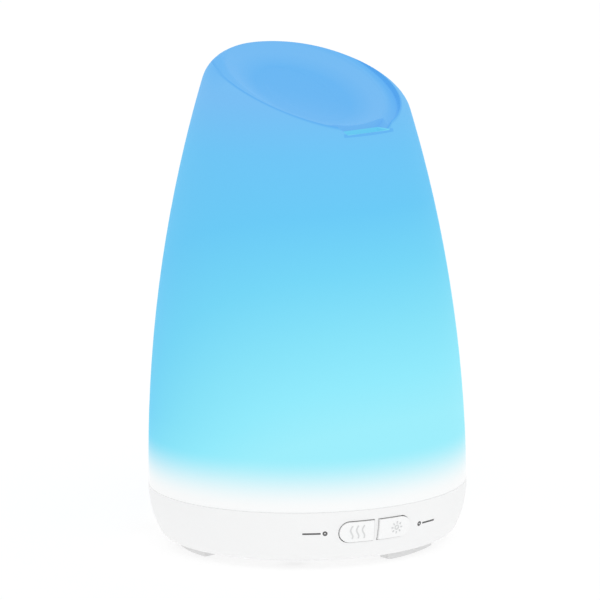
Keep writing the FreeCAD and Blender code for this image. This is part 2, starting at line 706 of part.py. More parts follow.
def make_base_shell():
    low_outer = base_reach(S.base_bottom, S.base_curve)
    opening = S.plate_radius + S.plate_gap
    seat = opening - S.seat_width
    seat_top = PLATE_TOP + S.seat_thick
    under_ledge = LEDGE_HEIGHT - S.ledge_thick - S.ledge_width
    ledge_inner = LEDGE_RADIUS - S.ledge_width
    corners = ((BASE_RADIUS, S.seam_height), (low_outer, S.base_bottom), (opening, S.base_bottom),
               (opening, PLATE_TOP), (seat, PLATE_TOP), (seat, seat_top),
               (base_reach(seat_top, BASE_INNER_CURVE), seat_top),
               (base_reach(under_ledge, BASE_INNER_CURVE), under_ledge),
               (ledge_inner, LEDGE_HEIGHT - S.ledge_thick), (ledge_inner, LEDGE_HEIGHT),
               (LEDGE_RADIUS, LEDGE_HEIGHT), (LEDGE_RADIUS, S.seam_height))
    arcs = {0: (S.base_curve, 1), 6: (BASE_INNER_CURVE, -1)}
    body = revolved("ShellBody", corners, arcs)
    DOC.recompute()
    low = S.base_bottom.value + TOUCH
    wide = low_outer.value * 2 - TOUCH
    round_edges(body, "ShellRound", body.Tip, lambda edge: edge.BoundBox.ZMax < low
                and edge.BoundBox.XLength > wide, S.base_round)
    tools = []
    for side in (-1, 1):
        window = pill(f"Window{side + 1}", side, S.button_gap, BASE_CENTRE, BASE_RADIUS + S.base_wall)
        tools.append(turned(window, button_azimuth(side)))
    face = base_reach(S.jack_height, S.base_curve)
    hole = spoke("JackHole", S.jack_nose + S.fit_gap, face - S.jack_length, face + S.base_wall, S.jack_height)
    tools.append(turned(group("JackHole", hole), S.jack_azimuth))
    pocket = block("JackPocket", S.jack_side + S.fit_gap * 2, face - S.jack_length - S.jack_tail_room,
                   jack_shoulder() + S.fit_gap, S.jack_height - S.jack_side / 2 - S.fit_gap,
                   S.jack_height + S.jack_side / 2 + S.fit_gap)
    tools.append(turned(group("JackPocket", pocket), S.jack_azimuth))
    return named(cut("BaseShell", body, *tools), "base_shell")


def make_bottom_cover():
    """Plate with three curved feet, vent slots under the fan, and standoffs for the main board."""
    solids = [cylinder("Plate", S.plate_radius, S.base_bottom, PLATE_TOP)]
    holes = []
    for index in range(FEET):
        azimuth = S.foot_azimuth + 360 / FEET * index
        solids.append(sector(f"Foot{index}", S.foot_radius - S.foot_width, S.foot_radius, S.foot_clear,
                             S.base_bottom, S.foot_span, azimuth))
        holes.append(pad_sector(f"PadSeat{index}", azimuth, S.pad_thick))
    for index, (x, y) in enumerate(post_places()):
        holes.append(cylinder(f"PlateHole{index}", S.screw_radius + S.screw_gap, S.base_bottom, PLATE_TOP, x, y))
        holes.append(cylinder(f"PlateSink{index}", S.head_radius + S.fit_gap, S.base_bottom - OVER,
                              S.base_bottom + S.head_thick, x, y))
    slots = []
    for index in range(VENT_SLOTS):
        step = index - (VENT_SLOTS - 1) / 2
        near = S.fan_offset - S.fan_bore * math.cos(math.asin(step / VENT_SLOTS * 2)) + S.grille_margin
        far = S.fan_offset * 2 - near
        slots.append(block(f"Vent{index}", S.grille_slot, near, far, S.base_bottom - OVER, PLATE_TOP + OVER,
                           S.grille_pitch * step))
    holes.append(turned(group("Vents", *slots), S.fan_azimuth))
    for index, (x, y) in enumerate(standoff_places()):
        solids.append(cylinder(f"Standoff{index}", S.standoff_radius, PLATE_TOP, S.board_height, x, y))
        holes.append(cylinder(f"StandoffBore{index}", S.small_screw_radius + S.screw_gap, PLATE_TOP,
                              S.board_height + OVER, x, y))
    for index, (x, y) in enumerate(fan_screw_places()):
        solids.append(cylinder(f"FanPost{index}", S.fan_post_radius, PLATE_TOP, S.fan_bottom, x, y))
        holes.append(cylinder(f"FanPostBore{index}", S.small_screw_radius + S.screw_gap, PLATE_TOP - S.fan_bore_depth,
                              S.fan_bottom + OVER, x, y))
    return named(cut("BottomCover", fuse("BottomCover", *solids), *holes), "bottom_cover")


def pad_sector(name, azimuth, top):
    middle = S.foot_radius - S.foot_width / 2
    return sector(name, middle - S.pad_width / 2, middle + S.pad_width / 2, as_dim(0), top, S.pad_span, azimuth)


def make_foot_pads():
    pads = [pad_sector(f"Pad{index}", S.foot_azimuth + 360 / FEET * index, S.pad_thick) for index in range(FEET)]
    return named(group("FootPads", *pads), "foot_pads")


def screw(name, shank, head, head_thick, length, x, y, seat, up):
    """A pan-head screw with its head's seat at a height, pointing up or down."""
    tip = seat + length * up
    back = seat - head_thick * up
    low, high = (back, tip) if up > 0 else (tip, back)
    if up > 0:
        head_solid = cylinder(name + "Head", head, low, seat, x, y)
        shank_solid = cylinder(name + "Shank", shank, seat, high, x, y)
    else:
        head_solid = cylinder(name + "Head", head, seat, high, x, y)
        shank_solid = cylinder(name + "Shank", shank, low, seat, x, y)
    return fuse(name, head_solid, shank_solid)


def make_case_screws():
    seat = S.base_bottom + S.head_thick
    screws = [screw(f"CaseScrew{i}", S.screw_radius, S.head_radius, S.head_thick, S.screw_length, x, y, seat, 1)
              for i, (x, y) in enumerate(post_places())]
    return named(group("CaseScrews", *screws), "case_screws")


# ---------------------------------------------------------------- buttons and switches

BUTTON_BACK = BUTTON_SEAT - S.flange_thick
SWITCH_FACE = BUTTON_BACK - S.button_travel - S.switch_clear
SWITCH_BOARD_FACE = SWITCH_FACE - S.switch_depth
BOARD_RADIUS = SWITCH_BOARD_FACE - S.switch_board_thick - S.board_gap


def make_button(side, label):
    """Cap that follows the shell's curve, with a flange behind the window."""
    name = label.title().replace("_", "")
    skin = base_skin(name + "Skin", S.button_proud)
    outside = BASE_RADIUS + S.button_proud * 4
    cap = common(name + "Cap", turned(pill(name + "Pill", side, as_dim(0), BUTTON_BACK, outside),
                                      button_azimuth(side)), skin)
    flange = pill(name + "Flange", side, S.button_flange, BUTTON_BACK, BUTTON_SEAT)
    span = block(name + "Span", S.button_width + S.button_flange, BASE_CENTRE, BASE_RADIUS, S.base_bottom,
                 S.seam_height, (S.button_flange / 2 + S.button_gap) * side)
    keep = turned(common(name + "Keep", flange, span), button_azimuth(side))
    return named(fuse(name, cap, keep), label)


def make_plunger(side, label):
    """Round plunger of a tact switch, from inside the switch to the back of the button."""
    rod = spoke(label.title(), S.plunger_radius, SWITCH_FACE - S.switch_clear, BUTTON_BACK, S.button_height)
    return named(turned(group(label.title(), rod), button_azimuth(side)), label)


def make_switches():
    """Two tact switch housings with a well that the plunger sinks into."""
    housings = []
    for side in (-1, 1):
        half = S.switch_size / 2
        housing = block(f"Switch{side + 1}", S.switch_size, SWITCH_BOARD_FACE, SWITCH_FACE,
                        S.button_height - half, S.button_height + half)
        bottom = SWITCH_FACE - S.switch_clear - S.button_travel - S.fit_gap
        well = spoke(f"SwitchWell{side + 1}", S.plunger_radius + S.running_gap, bottom, SWITCH_FACE + OVER,
                     S.button_height)
        housings.append(turned(cut(f"Switch{side + 1}", housing, well), button_azimuth(side)))
    return named(group("Switches", *housings), "tact_switches")


def make_switch_board():
    """Two narrow boards in one angled strip behind the switches."""
    half = S.switch_size / 2 + S.switch_board_margin
    leaves = []
    for side in (-1, 1):
        leaf = block(f"Leaf{side + 1}", S.button_width, SWITCH_BOARD_FACE - S.switch_board_thick,
                     SWITCH_BOARD_FACE, S.button_height - half, S.button_height + half)
        leaves.append(turned(group(f"Leaf{side + 1}", leaf), button_azimuth(side)))
    return named(fuse("SwitchBoard", *leaves), "switch_board")


# ---------------------------------------------------------------- mist disc

def make_piezo_disc():
    middle = S.tank_floor - S.seal_thick / 2
    return named(cylinder("PiezoDisc", S.piezo_radius, middle - S.piezo_thick / 2, middle + S.piezo_thick / 2),
                 "piezo_disc")


def make_piezo_seal():
    middle = S.tank_floor - S.seal_thick / 2
    inner = S.well_radius
    body = ring("Seal", inner, S.seal_radius, SEAL_BOTTOM, S.tank_floor)
    groove = cylinder("SealGroove", S.piezo_radius, middle - S.piezo_thick / 2, middle + S.piezo_thick / 2)
    return named(cut("PiezoSeal", body, groove), "piezo_seal")


def make_piezo_retainer():
    plate = ring("Retainer", S.well_radius, S.retainer_radius, RETAINER_BOTTOM, SEAL_BOTTOM)
    holes = [cylinder(f"RetainerHole{i}", S.small_screw_radius + S.screw_gap, RETAINER_BOTTOM - OVER,
                      SEAL_BOTTOM + OVER, x, y) for i, (x, y) in enumerate(retainer_places())]
    return named(cut("PiezoRetainer", plate, *holes), "piezo_retainer")


def make_retainer_screws():
    screws = [screw(f"RetainerScrew{i}", S.small_screw_radius, S.small_head_radius, S.small_head_thick,
                    S.small_screw_length, x, y, RETAINER_BOTTOM, 1)
              for i, (x, y) in enumerate(retainer_places())]
    return named(group("RetainerScrews", *screws), "retainer_screws")


# ---------------------------------------------------------------- fan and duct

def fan_centre():
    return polar(S.fan_offset, S.fan_azimuth)


def fan_screw_places():
    """The fan's four corners, turned with the fan."""
    places = []
    for across in (-1, 1):
        for out in (-1, 1):
            side = S.fan_screw_ring * across
            reach = S.fan_offset + S.fan_screw_ring * out
            places.append((side * cosine(S.fan_azimuth) + reach * sine(S.fan_azimuth),
                           side * sine(S.fan_azimuth) - reach * cosine(S.fan_azimuth)))
    return places


def make_fan_housing():
    near = S.fan_offset - S.fan_side / 2
    far = S.fan_offset + S.fan_side / 2
    frame = block("FanFrame", S.fan_side, near, far, S.fan_bottom, FAN_TOP)
    bore = cylinder("FanBore", S.fan_bore, S.fan_bottom - OVER, FAN_TOP + OVER, 0, -S.fan_offset)
    floor_top = S.fan_bottom + S.fan_floor
    plate = cylinder("MotorPlate", S.fan_hub + S.motor_plate_lip, S.fan_bottom, floor_top, 0, -S.fan_offset)
    strut = block("StrutA", S.grille_slot, near + S.strut_end, far - S.strut_end, S.fan_bottom, floor_top)
    cross = block("StrutB", S.fan_side - S.strut_end * 2, S.fan_offset - S.grille_slot / 2,
                  S.fan_offset + S.grille_slot / 2, S.fan_bottom, floor_top)
    shaft_hole = cylinder("ShaftHole", S.fan_shaft + S.running_gap, S.fan_bottom - OVER, FAN_TOP,
                          0, -S.fan_offset)
    body = fuse("FanHousing", cut("FanFrame", frame, bore), plate, strut, cross)
    housing = turned(cut("FanHousing", body, shaft_hole), S.fan_azimuth)
    holes = [cylinder(f"FanHole{i}", S.small_screw_radius + S.screw_gap, S.fan_bottom - OVER,
                      FAN_TOP + OVER, x, y) for i, (x, y) in enumerate(fan_screw_places())]
    return named(cut("FanHousingDrilled", housing, *holes), "fan_housing")


def make_fan_rotor():
    """Hub with leaning blades, and the shaft that runs in the housing."""
    body = DOC.addObject("PartDesign::Body", "RotorBody")
    half = S.fan_blade_thick / 2
    low = S.fan_bottom + S.fan_floor + S.blade_clear
    high = low + S.fan_blade_tall
    lean = S.fan_blade_lean
    corners = ((-lean - half, low), (half - lean, low), (lean + half, high), (lean - half, high))
    sketch = outline(body, "BladeSection", "XZ_Plane", corners)
    blade = body.newObject("PartDesign::Pad", "Blade")
    blade.Profile = sketch
    bind(blade, "Length", S.fan_blade_reach)
    DOC.recompute()
    pattern = body.newObject("PartDesign::PolarPattern", "Blades")
    pattern.Originals = [blade]
    pattern.Axis = (next(o for o in body.Origin.OriginFeatures if o.Role == "Z_Axis"), [""])
    pattern.Angle = 360
    pattern.Occurrences = BLADES
    body.Tip = pattern
    DOC.recompute()
    floor_top = S.fan_bottom + S.fan_floor
    hub = cylinder("Hub", S.fan_hub, floor_top + S.hub_clear, high + S.hub_clear)
    shaft = cylinder("Shaft", S.fan_shaft, S.fan_bottom, high)
    rotor = fuse("FanRotor", body, hub, shaft)
    x, y = fan_centre()
    return named(place(rotor, x, y, 0, yaw=S.fan_azimuth), "fan_rotor")


def make_fan_screws():
    seat = DUCT_FLANGE_TOP
    length = seat - PLATE_TOP
    screws = [screw(f"FanScrew{i}", S.small_screw_radius, S.small_head_radius, S.small_head_thick,
                    length, x, y, seat, -1)
              for i, (x, y) in enumerate(fan_screw_places())]
    return named(group("FanScrews", *screws), "fan_screws")


DUCT_FLANGE_TOP = FAN_TOP + S.duct_wall


def make_air_duct():
    """Cap over the fan that gathers its air into the tank's air pipe."""
    near = S.fan_offset - S.fan_side / 2
    far = S.fan_offset + S.fan_side / 2
    flange = block("DuctFlange", S.fan_side, near, far, FAN_TOP, DUCT_FLANGE_TOP)
    dome = cylinder("DuctDome", S.fan_bore + S.duct_wall, FAN_TOP, DUCT_TOP, 0, -S.fan_offset)
    collar = cylinder("DuctCollar", S.pipe_radius + S.fit_gap + S.collar_wall, DUCT_TOP - S.duct_wall,
                      DUCT_TOP + S.collar_tall, 0, -S.pipe_offset)
    room = cylinder("DuctRoom", S.fan_bore, FAN_TOP - OVER, DUCT_TOP - S.duct_wall, 0, -S.fan_offset)
    mouth = cylinder("DuctMouth", S.pipe_radius - S.pipe_wall, FAN_TOP + OVER, DUCT_TOP + OVER,
                     0, -S.pipe_offset)
    socket = cylinder("DuctSocket", S.pipe_radius + S.fit_gap, DUCT_TOP, DUCT_TOP + S.collar_tall + OVER,
                      0, -S.pipe_offset)
    body = turned(cut("AirDuct", fuse("AirDuct", flange, dome, collar), room, mouth, socket), S.fan_azimuth)
    tools = []
    for i, (x, y) in enumerate(fan_screw_places()):
        tools.append(cylinder(f"DuctHole{i}", S.small_screw_radius + S.screw_gap, FAN_TOP - OVER,
                              DUCT_FLANGE_TOP + OVER, x, y))
        tools.append(cylinder(f"DuctHead{i}", S.small_head_radius + S.fit_gap, DUCT_FLANGE_TOP,
                              DUCT_TOP + OVER, x, y))
    return named(cut("AirDuctDrilled", body, *tools), "air_duct")


# ---------------------------------------------------------------- boards and parts on them

def on_board(item, label):
    return named(turned(group(label.title().replace("_", ""), item), S.board_azimuth), label)


def standoff_places():
    """Main board's standoffs, in the board's own turn."""
    near = [(S.standoff_across * side, S.standoff_reach) for side in (-1, 1)]
    far = [(S.far_standoff_across * side, S.far_standoff_reach) for side in (-1, 1)]
    return [(across * cosine(S.board_azimuth) + reach * sine(S.board_azimuth),
             across * sine(S.board_azimuth) - reach * cosine(S.board_azimuth)) for across, reach in near + far]


def make_main_board():
    disc = cylinder("BoardDisc", BOARD_RADIUS, S.board_height, BOARD_TOP)
    half = block("BoardHalf", BOARD_RADIUS * 2, S.board_edge, BOARD_RADIUS, S.board_height, BOARD_TOP)
    board = turned(common("MainBoard", disc, half), S.board_azimuth)
    holes = [cylinder(f"BoardHole{i}", S.small_screw_radius + S.screw_gap, S.board_height - OVER,
                      BOARD_TOP + OVER, x, y) for i, (x, y) in enumerate(standoff_places())]
    holes += [cylinder(f"BoardPostHole{i}", S.post_radius + S.fit_gap, S.board_height - OVER,
                       BOARD_TOP + OVER, x, y) for i, (x, y) in enumerate(post_places())]
    return named(cut("MainBoardDrilled", board, *holes), "main_board")


def make_board_screws():
    screws = [screw(f"BoardScrew{i}", S.small_screw_radius, S.small_head_radius, S.small_head_thick,
                    S.small_screw_length, x, y, BOARD_TOP, -1)
              for i, (x, y) in enumerate(standoff_places())]
    return named(group("BoardScrews", *screws), "board_screws")


def make_inductor():
    sizes = {"Radius1": S.coil_ring, "Radius2": S.coil_tube}
    coil = primitive("Torus", "Coil", sizes, -S.coil_across, -S.coil_reach, BOARD_TOP + S.coil_tube)
    return on_board(coil, "inductor")


def make_capacitor():
    can = cylinder("Can", S.capacitor_radius, BOARD_TOP, BOARD_TOP + S.capacitor_tall, S.capacitor_across,
                   -S.capacitor_reach)
    return on_board(can, "capacitor")


def make_heat_sink():
    """Finned block that the transistor is fixed to."""
    top = BOARD_TOP + S.sink_tall
    far = S.sink_near + S.sink_deep
    sink = block("Sink", S.sink_wide, S.sink_near, far, BOARD_TOP, top, S.sink_across)
    fins = [block(f"FinGap{i}", S.fin_gap, S.sink_near + S.sink_back, far + OVER, BOARD_TOP + S.sink_floor,
                  top + OVER, S.sink_across + S.fin_pitch * (i - 1.5)) for i in range(FIN_GAPS)]
    return on_board(cut("HeatSink", sink, *fins), "heat_sink")


def make_transistor():
    body = block("Transistor", S.transistor_wide, S.sink_near - S.transistor_deep, S.sink_near, BOARD_TOP,
                 BOARD_TOP + S.transistor_tall, S.sink_across)
    return on_board(body, "transistor")


def make_chip():
    chip = block("Chip", S.chip_side, S.chip_near, S.chip_near + S.chip_side, BOARD_TOP,
                 BOARD_TOP + S.chip_thick, S.chip_across)
    return on_board(chip, "control_chip")


# Each connector's place on the main board: to the side of its middle, and from the axis.
CONNECTOR_PLACES = ((-24, 12), (21, 12), (-16, 4), (-6, 4))


def make_connectors():
    plugs = [block(f"Plug{i}", S.plug_wide, as_dim(reach) - S.plug_deep / 2, as_dim(reach) + S.plug_deep / 2,
                   BOARD_TOP, BOARD_TOP + S.plug_tall, across)
             for i, (across, reach) in enumerate(CONNECTOR_PLACES)]
    return named(turned(group("BoardConnectors", *plugs), S.board_azimuth), "board_connectors")


def make_led_board():
    top = S.led_board_height + S.led_board_thick
    board = ring("LedBoard", S.led_board_inner, S.led_board_outer, S.led_board_height, top)
    x, y = air_pipe_place()
    holes = [cylinder("LedPipeHole", S.pipe_radius + S.collar_wall + S.led_pipe_gap,
                      S.led_board_height - OVER, top + OVER, x, y)]
    holes += [cylinder(f"LedPostHole{i}", S.post_radius + S.fit_gap, S.led_board_height - OVER,
                       top + OVER, x, y) for i, (x, y) in enumerate(post_places())]
    return named(cut("LedBoardDrilled", board, *holes), "led_board")


def make_leds():
    top = S.led_board_height + S.led_board_thick
    reach = (S.led_board_inner + S.led_board_outer) / 2 + S.led_shift
    lamps = []
    for index in range(LAMPS):
        lamp = block(f"Led{index}", S.led_side, reach - S.led_side / 2, reach + S.led_side / 2, top,
                     top + S.led_tall)
        azimuth = POST_AZIMUTH + S.led_azimuth + 360 / LAMPS * index
        lamps.append(turned(group(f"Led{index}", lamp), azimuth))
    return named(group("Leds", *lamps), "leds")


# ---------------------------------------------------------------- power inlet

def jack_face():
    return base_reach(S.jack_height, S.base_curve) - S.jack_recess


def jack_shoulder():
    """Front of the inlet's square body, inside the shell's wall."""
    return base_reach(S.jack_height + S.jack_side / 2, BASE_INNER_CURVE) - S.jack_shoulder


def make_dc_jack():
    """Inlet with a square body, a round nose and a centre pin, facing out through the shell."""
    half = S.jack_side / 2
    shoulder = jack_shoulder()
    face = jack_face()
    body = block("JackBody", S.jack_side, shoulder - S.jack_length, shoulder, S.jack_height - half,
                 S.jack_height + half)
    nose = spoke("JackNose", S.jack_nose, shoulder - OVER, face, S.jack_height)
    bore = spoke("JackBore", S.jack_bore, face - S.jack_bore_depth, face + OVER, S.jack_height)
    pin = spoke("JackPin", S.jack_pin, face - S.jack_bore_depth - OVER, face - S.jack_pin_recess, S.jack_height)
    jack = fuse("DcJackWhole", cut("DcJack", fuse("DcJack", body, nose), bore), pin)
    return named(turned(jack, S.jack_azimuth), "dc_jack")


# ---------------------------------------------------------------- build

MAKERS = (
    make_cover, make_inner_lid, make_water_tank, make_level_pins, make_tank_gasket, make_base_shell,
    make_bottom_cover, make_foot_pads, make_case_screws,
    lambda: make_button(-1, "light_button"), lambda: make_button(1, "mist_button"),
    lambda: make_plunger(-1, "light_plunger"), lambda: make_plunger(1, "mist_plunger"),
    make_switches, make_switch_board, make_piezo_disc, make_piezo_seal, make_piezo_retainer,
    make_retainer_screws, make_fan_housing, make_fan_rotor, make_fan_screws, make_air_duct, make_main_board,
    make_board_screws, make_inductor, make_capacitor, make_heat_sink, make_transistor, make_chip,
    make_connectors, make_led_board, make_leds, make_dc_jack,
)


def check(parts):
    """Stop if an object failed to rebuild or a piece has no valid solid."""
    for item in DOC.Objects:
        if "Invalid" in item.State or "Error" in item.State:
            raise RuntimeError(f"{item.Label} failed: {item.State} {item.getStatusString()}")
    for part in parts:
        shape = part.Shape
        if shape.isNull() or not shape.isValid() or not shape.Solids:
            raise RuntimeError(f"{part.Label} has no valid solid")


def main():
    parts = [maker() for maker in MAKERS]
    DOC.recompute()
    check(parts)
    os.makedirs("parts", exist_ok=True)
    for part in parts:
        part.Shape.exportStep(f"parts/{part.Label}.step")
        box = part.Shape.BoundBox
        print(f"{part.Label}: {len(part.Shape.Solids)} solids, {part.Shape.Volume / 1000:.2f} cm3, "
              f"z {box.ZMin:.2f} to {box.ZMax:.2f}")


main()
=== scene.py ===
import math

import bmesh
import bpy
from bpy.props import FloatProperty, IntProperty, PointerProperty, StringProperty
from mathutils import Matrix, Vector
from mathutils.bvhtree import BVHTree


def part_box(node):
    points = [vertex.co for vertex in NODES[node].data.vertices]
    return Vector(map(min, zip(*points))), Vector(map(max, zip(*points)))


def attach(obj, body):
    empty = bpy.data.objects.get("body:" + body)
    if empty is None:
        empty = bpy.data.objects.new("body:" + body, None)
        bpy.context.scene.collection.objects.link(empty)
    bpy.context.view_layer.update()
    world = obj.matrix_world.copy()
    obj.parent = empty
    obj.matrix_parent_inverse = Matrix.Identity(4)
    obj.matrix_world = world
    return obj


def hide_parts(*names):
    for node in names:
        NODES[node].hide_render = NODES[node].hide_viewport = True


bl_info = {
    "name": "Cool mist humidifier",
    "version": (1, 0, 0),
    "blender": (4, 5, 0),
    "location": "View3D > Sidebar > Humidifier",
    "description": "Shapes and finishes of a cool mist humidifier, from its lit cover to its boards",
    "category": "Object",
}

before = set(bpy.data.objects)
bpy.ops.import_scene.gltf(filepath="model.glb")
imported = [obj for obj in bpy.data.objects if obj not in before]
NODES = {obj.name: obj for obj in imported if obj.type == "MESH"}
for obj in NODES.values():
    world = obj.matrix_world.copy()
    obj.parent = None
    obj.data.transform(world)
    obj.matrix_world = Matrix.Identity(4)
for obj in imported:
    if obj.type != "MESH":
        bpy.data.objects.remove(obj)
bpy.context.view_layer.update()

MM = 0.001
COVER_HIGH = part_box("cover")[1]
COVER_RADIUS = COVER_HIGH.x

# The control chip lies square to the main board, which is turned to this azimuth.
BOARD_AZIMUTH = -44.4
CHIP_SIDE = 7 * MM

# Screws: node, shank radius and head thickness in millimetres, and whether the head is at the top.
SCREWS = (("case_screws", 1.0, 0.9, False), ("retainer_screws", 0.8, 0.7, False),
          ("fan_screws", 0.8, 0.7, True), ("board_screws", 0.8, 0.7, True))


# ------------------------------------------------------------------ nodes and materials

def linear(code):
    """An sRGB hex colour as linear RGBA."""
    parts = [int(code[i:i + 2], 16) / 255 for i in (1, 3, 5)]
    return tuple(c / 12.92 if c <= 0.04045 else ((c + 0.055) / 1.055) ** 2.4 for c in parts) + (1.0,)


def add(tree, kind, inputs=None, out=None, stops=(), **settings):
    """Add a node with its settings, colour stops and inputs.

    It returns the first output in use, the named one, or all of them for out="all".
    """
    item = tree.nodes.new(kind)
    for field, value in settings.items():
        setattr(item, field, value)
    if stops:
        ramp = item.color_ramp.elements
        while len(ramp) < len(stops):
            ramp.new(0.5)
        for element, (place, code) in zip(ramp, stops):
            element.position = place
            element.color = linear(code)
    for key, value in (inputs or {}).items():
        if isinstance(value, bpy.types.NodeSocket):
            tree.links.new(value, item.inputs[key])
        else:
            item.inputs[key].default_value = value
    if out == "all":
        return item.outputs
    return item.outputs[out] if out else next((s for s in item.outputs if s.enabled), None)


def material(name, **principled):
    """A node material, its tree and its shader, with plain values under the shader's own input names."""
    item = bpy.data.materials.new(name)
    item.use_nodes = True
    shader = next(n for n in item.node_tree.nodes if n.type == "BSDF_PRINCIPLED")
    for key, value in principled.items():
        shader.inputs[key.replace("_", " ")].default_value = value
    return item, item.node_tree, shader


def feed(tree, shader, **sockets):
    """Link sockets to the shader's inputs of the same names."""
    for key, socket in sockets.items():
        tree.links.new(socket, shader.inputs[key.replace("_", " ")])


def grains(tree, size_mm, detail=2.0, stretch=(1, 1, 1)):
    """A pattern whose grains are about so many millimetres across, longer along an axis stretched below 1."""
    place = add(tree, "ShaderNodeMapping", {"Vector": add(tree, "ShaderNodeTexCoord", out="Object"),
                                            "Scale": stretch})
    return add(tree, "ShaderNodeTexNoise", {"Vector": place, "Scale": 1 / (size_mm * MM), "Detail": detail})


def finish(name, codes, roughness, grain_mm, depth_mm, drift_mm=9.0, stretch=(1, 1, 1), **principled):
    """A surface whose colour drifts between two near shades, with its own grain and uneven gloss."""
    item, tree, shader = material(name, **principled)
    colour = add(tree, "ShaderNodeValToRGB", {"Fac": grains(tree, drift_mm)}, stops=((0.32, codes[0]),
                                                                                     (0.68, codes[-1])))
    fine = grains(tree, grain_mm, 3.0, stretch)
    gloss = add(tree, "ShaderNodeMapRange", {"Value": fine, "To Min": roughness * 0.88,
                                             "To Max": min(roughness * 1.12, 1.0)})
    bumps = add(tree, "ShaderNodeBump", {"Height": fine, "Distance": depth_mm * MM, "Strength": 0.5})
    feed(tree, shader, Base_Color=colour, Roughness=gloss, Normal=bumps)
    return item


def dress(item, *names):
    """Give the named parts their material."""
    for name in names:
        mesh = NODES[name].data
        if not mesh.materials:
            mesh.materials.append(item)
        for index in range(len(mesh.materials)):
            mesh.materials[index] = item


# ------------------------------------------------------------------ meshes

def around(radius, azimuth, height):
    """A place at a radius and an azimuth, measured in degrees from -Y towards +X."""
    turn = math.radians(azimuth)
    return Vector((radius * math.sin(turn), -radius * math.cos(turn), height))


def new_object(name, mesh, item):
    piece = bpy.data.objects.new(name, mesh)
    bpy.context.scene.collection.objects.link(piece)
    mesh.materials.clear()
    mesh.materials.append(item)
    return piece


def from_bmesh(name, shape, item, smooth=True):
    mesh = bpy.data.meshes.new(name)
    bmesh.ops.recalc_face_normals(shape, faces=shape.faces)
    shape.to_mesh(mesh)
    shape.free()
    for face in mesh.polygons:
        face.use_smooth = smooth
    return new_object(name, mesh, item)


def plain_mesh(piece):
    """The evaluated piece as a mesh without modifiers; the piece itself is removed."""
    graph = bpy.context.evaluated_depsgraph_get()
    mesh = bpy.data.meshes.new_from_object(piece.evaluated_get(graph), depsgraph=graph)
    bpy.data.objects.remove(piece)
    return mesh


def lathe(profile, steps):
    """A closed shape turned round Z from (radius, height) points that start and end on the axis."""
    shape = bmesh.new()
    rings = []
    for radius, height in profile:
        count = steps if radius > 0 else 1
        rings.append([shape.verts.new((radius * math.cos(math.tau * i / count),
                                       radius * math.sin(math.tau * i / count), height)) for i in range(count)])
    for low, high in zip(rings, rings[1:]):
        for i in range(steps):
            corners = [low[i % len(low)], low[(i + 1) % len(low)], high[(i + 1) % len(high)], high[i % len(high)]]
            shape.faces.new(list(dict.fromkeys(corners)))
    return shape


def cuboid(shape, low, high):
    """Add a box to a shape, between two corners."""
    low, high = Vector(low), Vector(high)
    size = high - low
    bmesh.ops.create_cube(shape, size=1, matrix=Matrix.Translation((low + high) / 2)
                          @ Matrix.Diagonal(size.to_4d()))


def rounded(piece, width_mm, segments=2):
    """Bevel a scratch piece's edges."""
    bevel = piece.modifiers.new("Edges", "BEVEL")
    bevel.width = width_mm * MM
    bevel.segments = segments
    return piece


def solids_of(name):
    """Lowest and highest corner of each separate solid in a part."""
    mesh = NODES[name].data
    keys = [tuple(round(c / MM, 3) for c in vertex.co) for vertex in mesh.vertices]
    parent = {key: key for key in keys}

    def top(key):
        while parent[key] != key:
            parent[key] = parent[parent[key]]
            key = parent[key]
        return key

    for edge in mesh.edges:
        parent[top(keys[edge.vertices[0]])] = top(keys[edge.vertices[1]])
    groups = {}
    for key in parent:
        groups.setdefault(top(key), []).append(key)
    boxes = [(Vector(min(c) for c in zip(*group)) * MM, Vector(max(c) for c in zip(*group)) * MM)
             for group in groups.values()]
    return sorted(boxes, key=lambda box: tuple(box[0]))


# ------------------------------------------------------------------ geometry node trees

def new_tree(name, sockets):
    """A geometry node tree with named inputs, given as (name, socket type)."""
    tree = bpy.data.node_groups.new(name, "GeometryNodeTree")
    tree.interface.new_socket("Geometry", in_out="OUTPUT", socket_type="NodeSocketGeometry")
    tree.interface.new_socket("Geometry", in_out="INPUT", socket_type="NodeSocketGeometry")
    for label, kind in sockets:
        tree.interface.new_socket(label, in_out="INPUT", socket_type=kind)
    return tree


def grow(name, base, tree, values, item):
    """Run a tree on a base mesh and return the result as a plain piece."""
    holder = new_object(name + "_base", base, item)
    growth = holder.modifiers.new("Growth", "NODES")
    growth.node_group = tree
    for socket in tree.interface.items_tree:
        if socket.in_out == "INPUT" and socket.name in values:
            growth[socket.identifier] = values[socket.name]
    mesh = plain_mesh(holder)
    for face in mesh.polygons:
        face.use_smooth = True
    return new_object(name, mesh, item)


COPIES = "Copies on points"


def copies_tree():
    """Copies of a part on each point, turned as the point's own turn says."""
    tree = new_tree(COPIES, (("Part", "NodeSocketObject"), ("Size", "NodeSocketFloat"),
                                         ("Finish", "NodeSocketMaterial")))
    given = add(tree, "NodeGroupInput", out="all")
    part = add(tree, "GeometryNodeObjectInfo", {"Object": given["Part"]}, out="Geometry")
    turn = add(tree, "GeometryNodeInputNamedAttribute", {"Name": "turn"}, data_type="FLOAT_VECTOR")
    placed = add(tree, "GeometryNodeInstanceOnPoints", {"Points": given["Geometry"], "Instance": part,
                                                        "Rotation": turn, "Scale": given["Size"]})
    real = add(tree, "GeometryNodeRealizeInstances", {"Geometry": placed})
    coated = add(tree, "GeometryNodeSetMaterial", {"Geometry": real, "Material": given["Finish"]})
    add(tree, "NodeGroupOutput", {"Geometry": coated})
    return tree


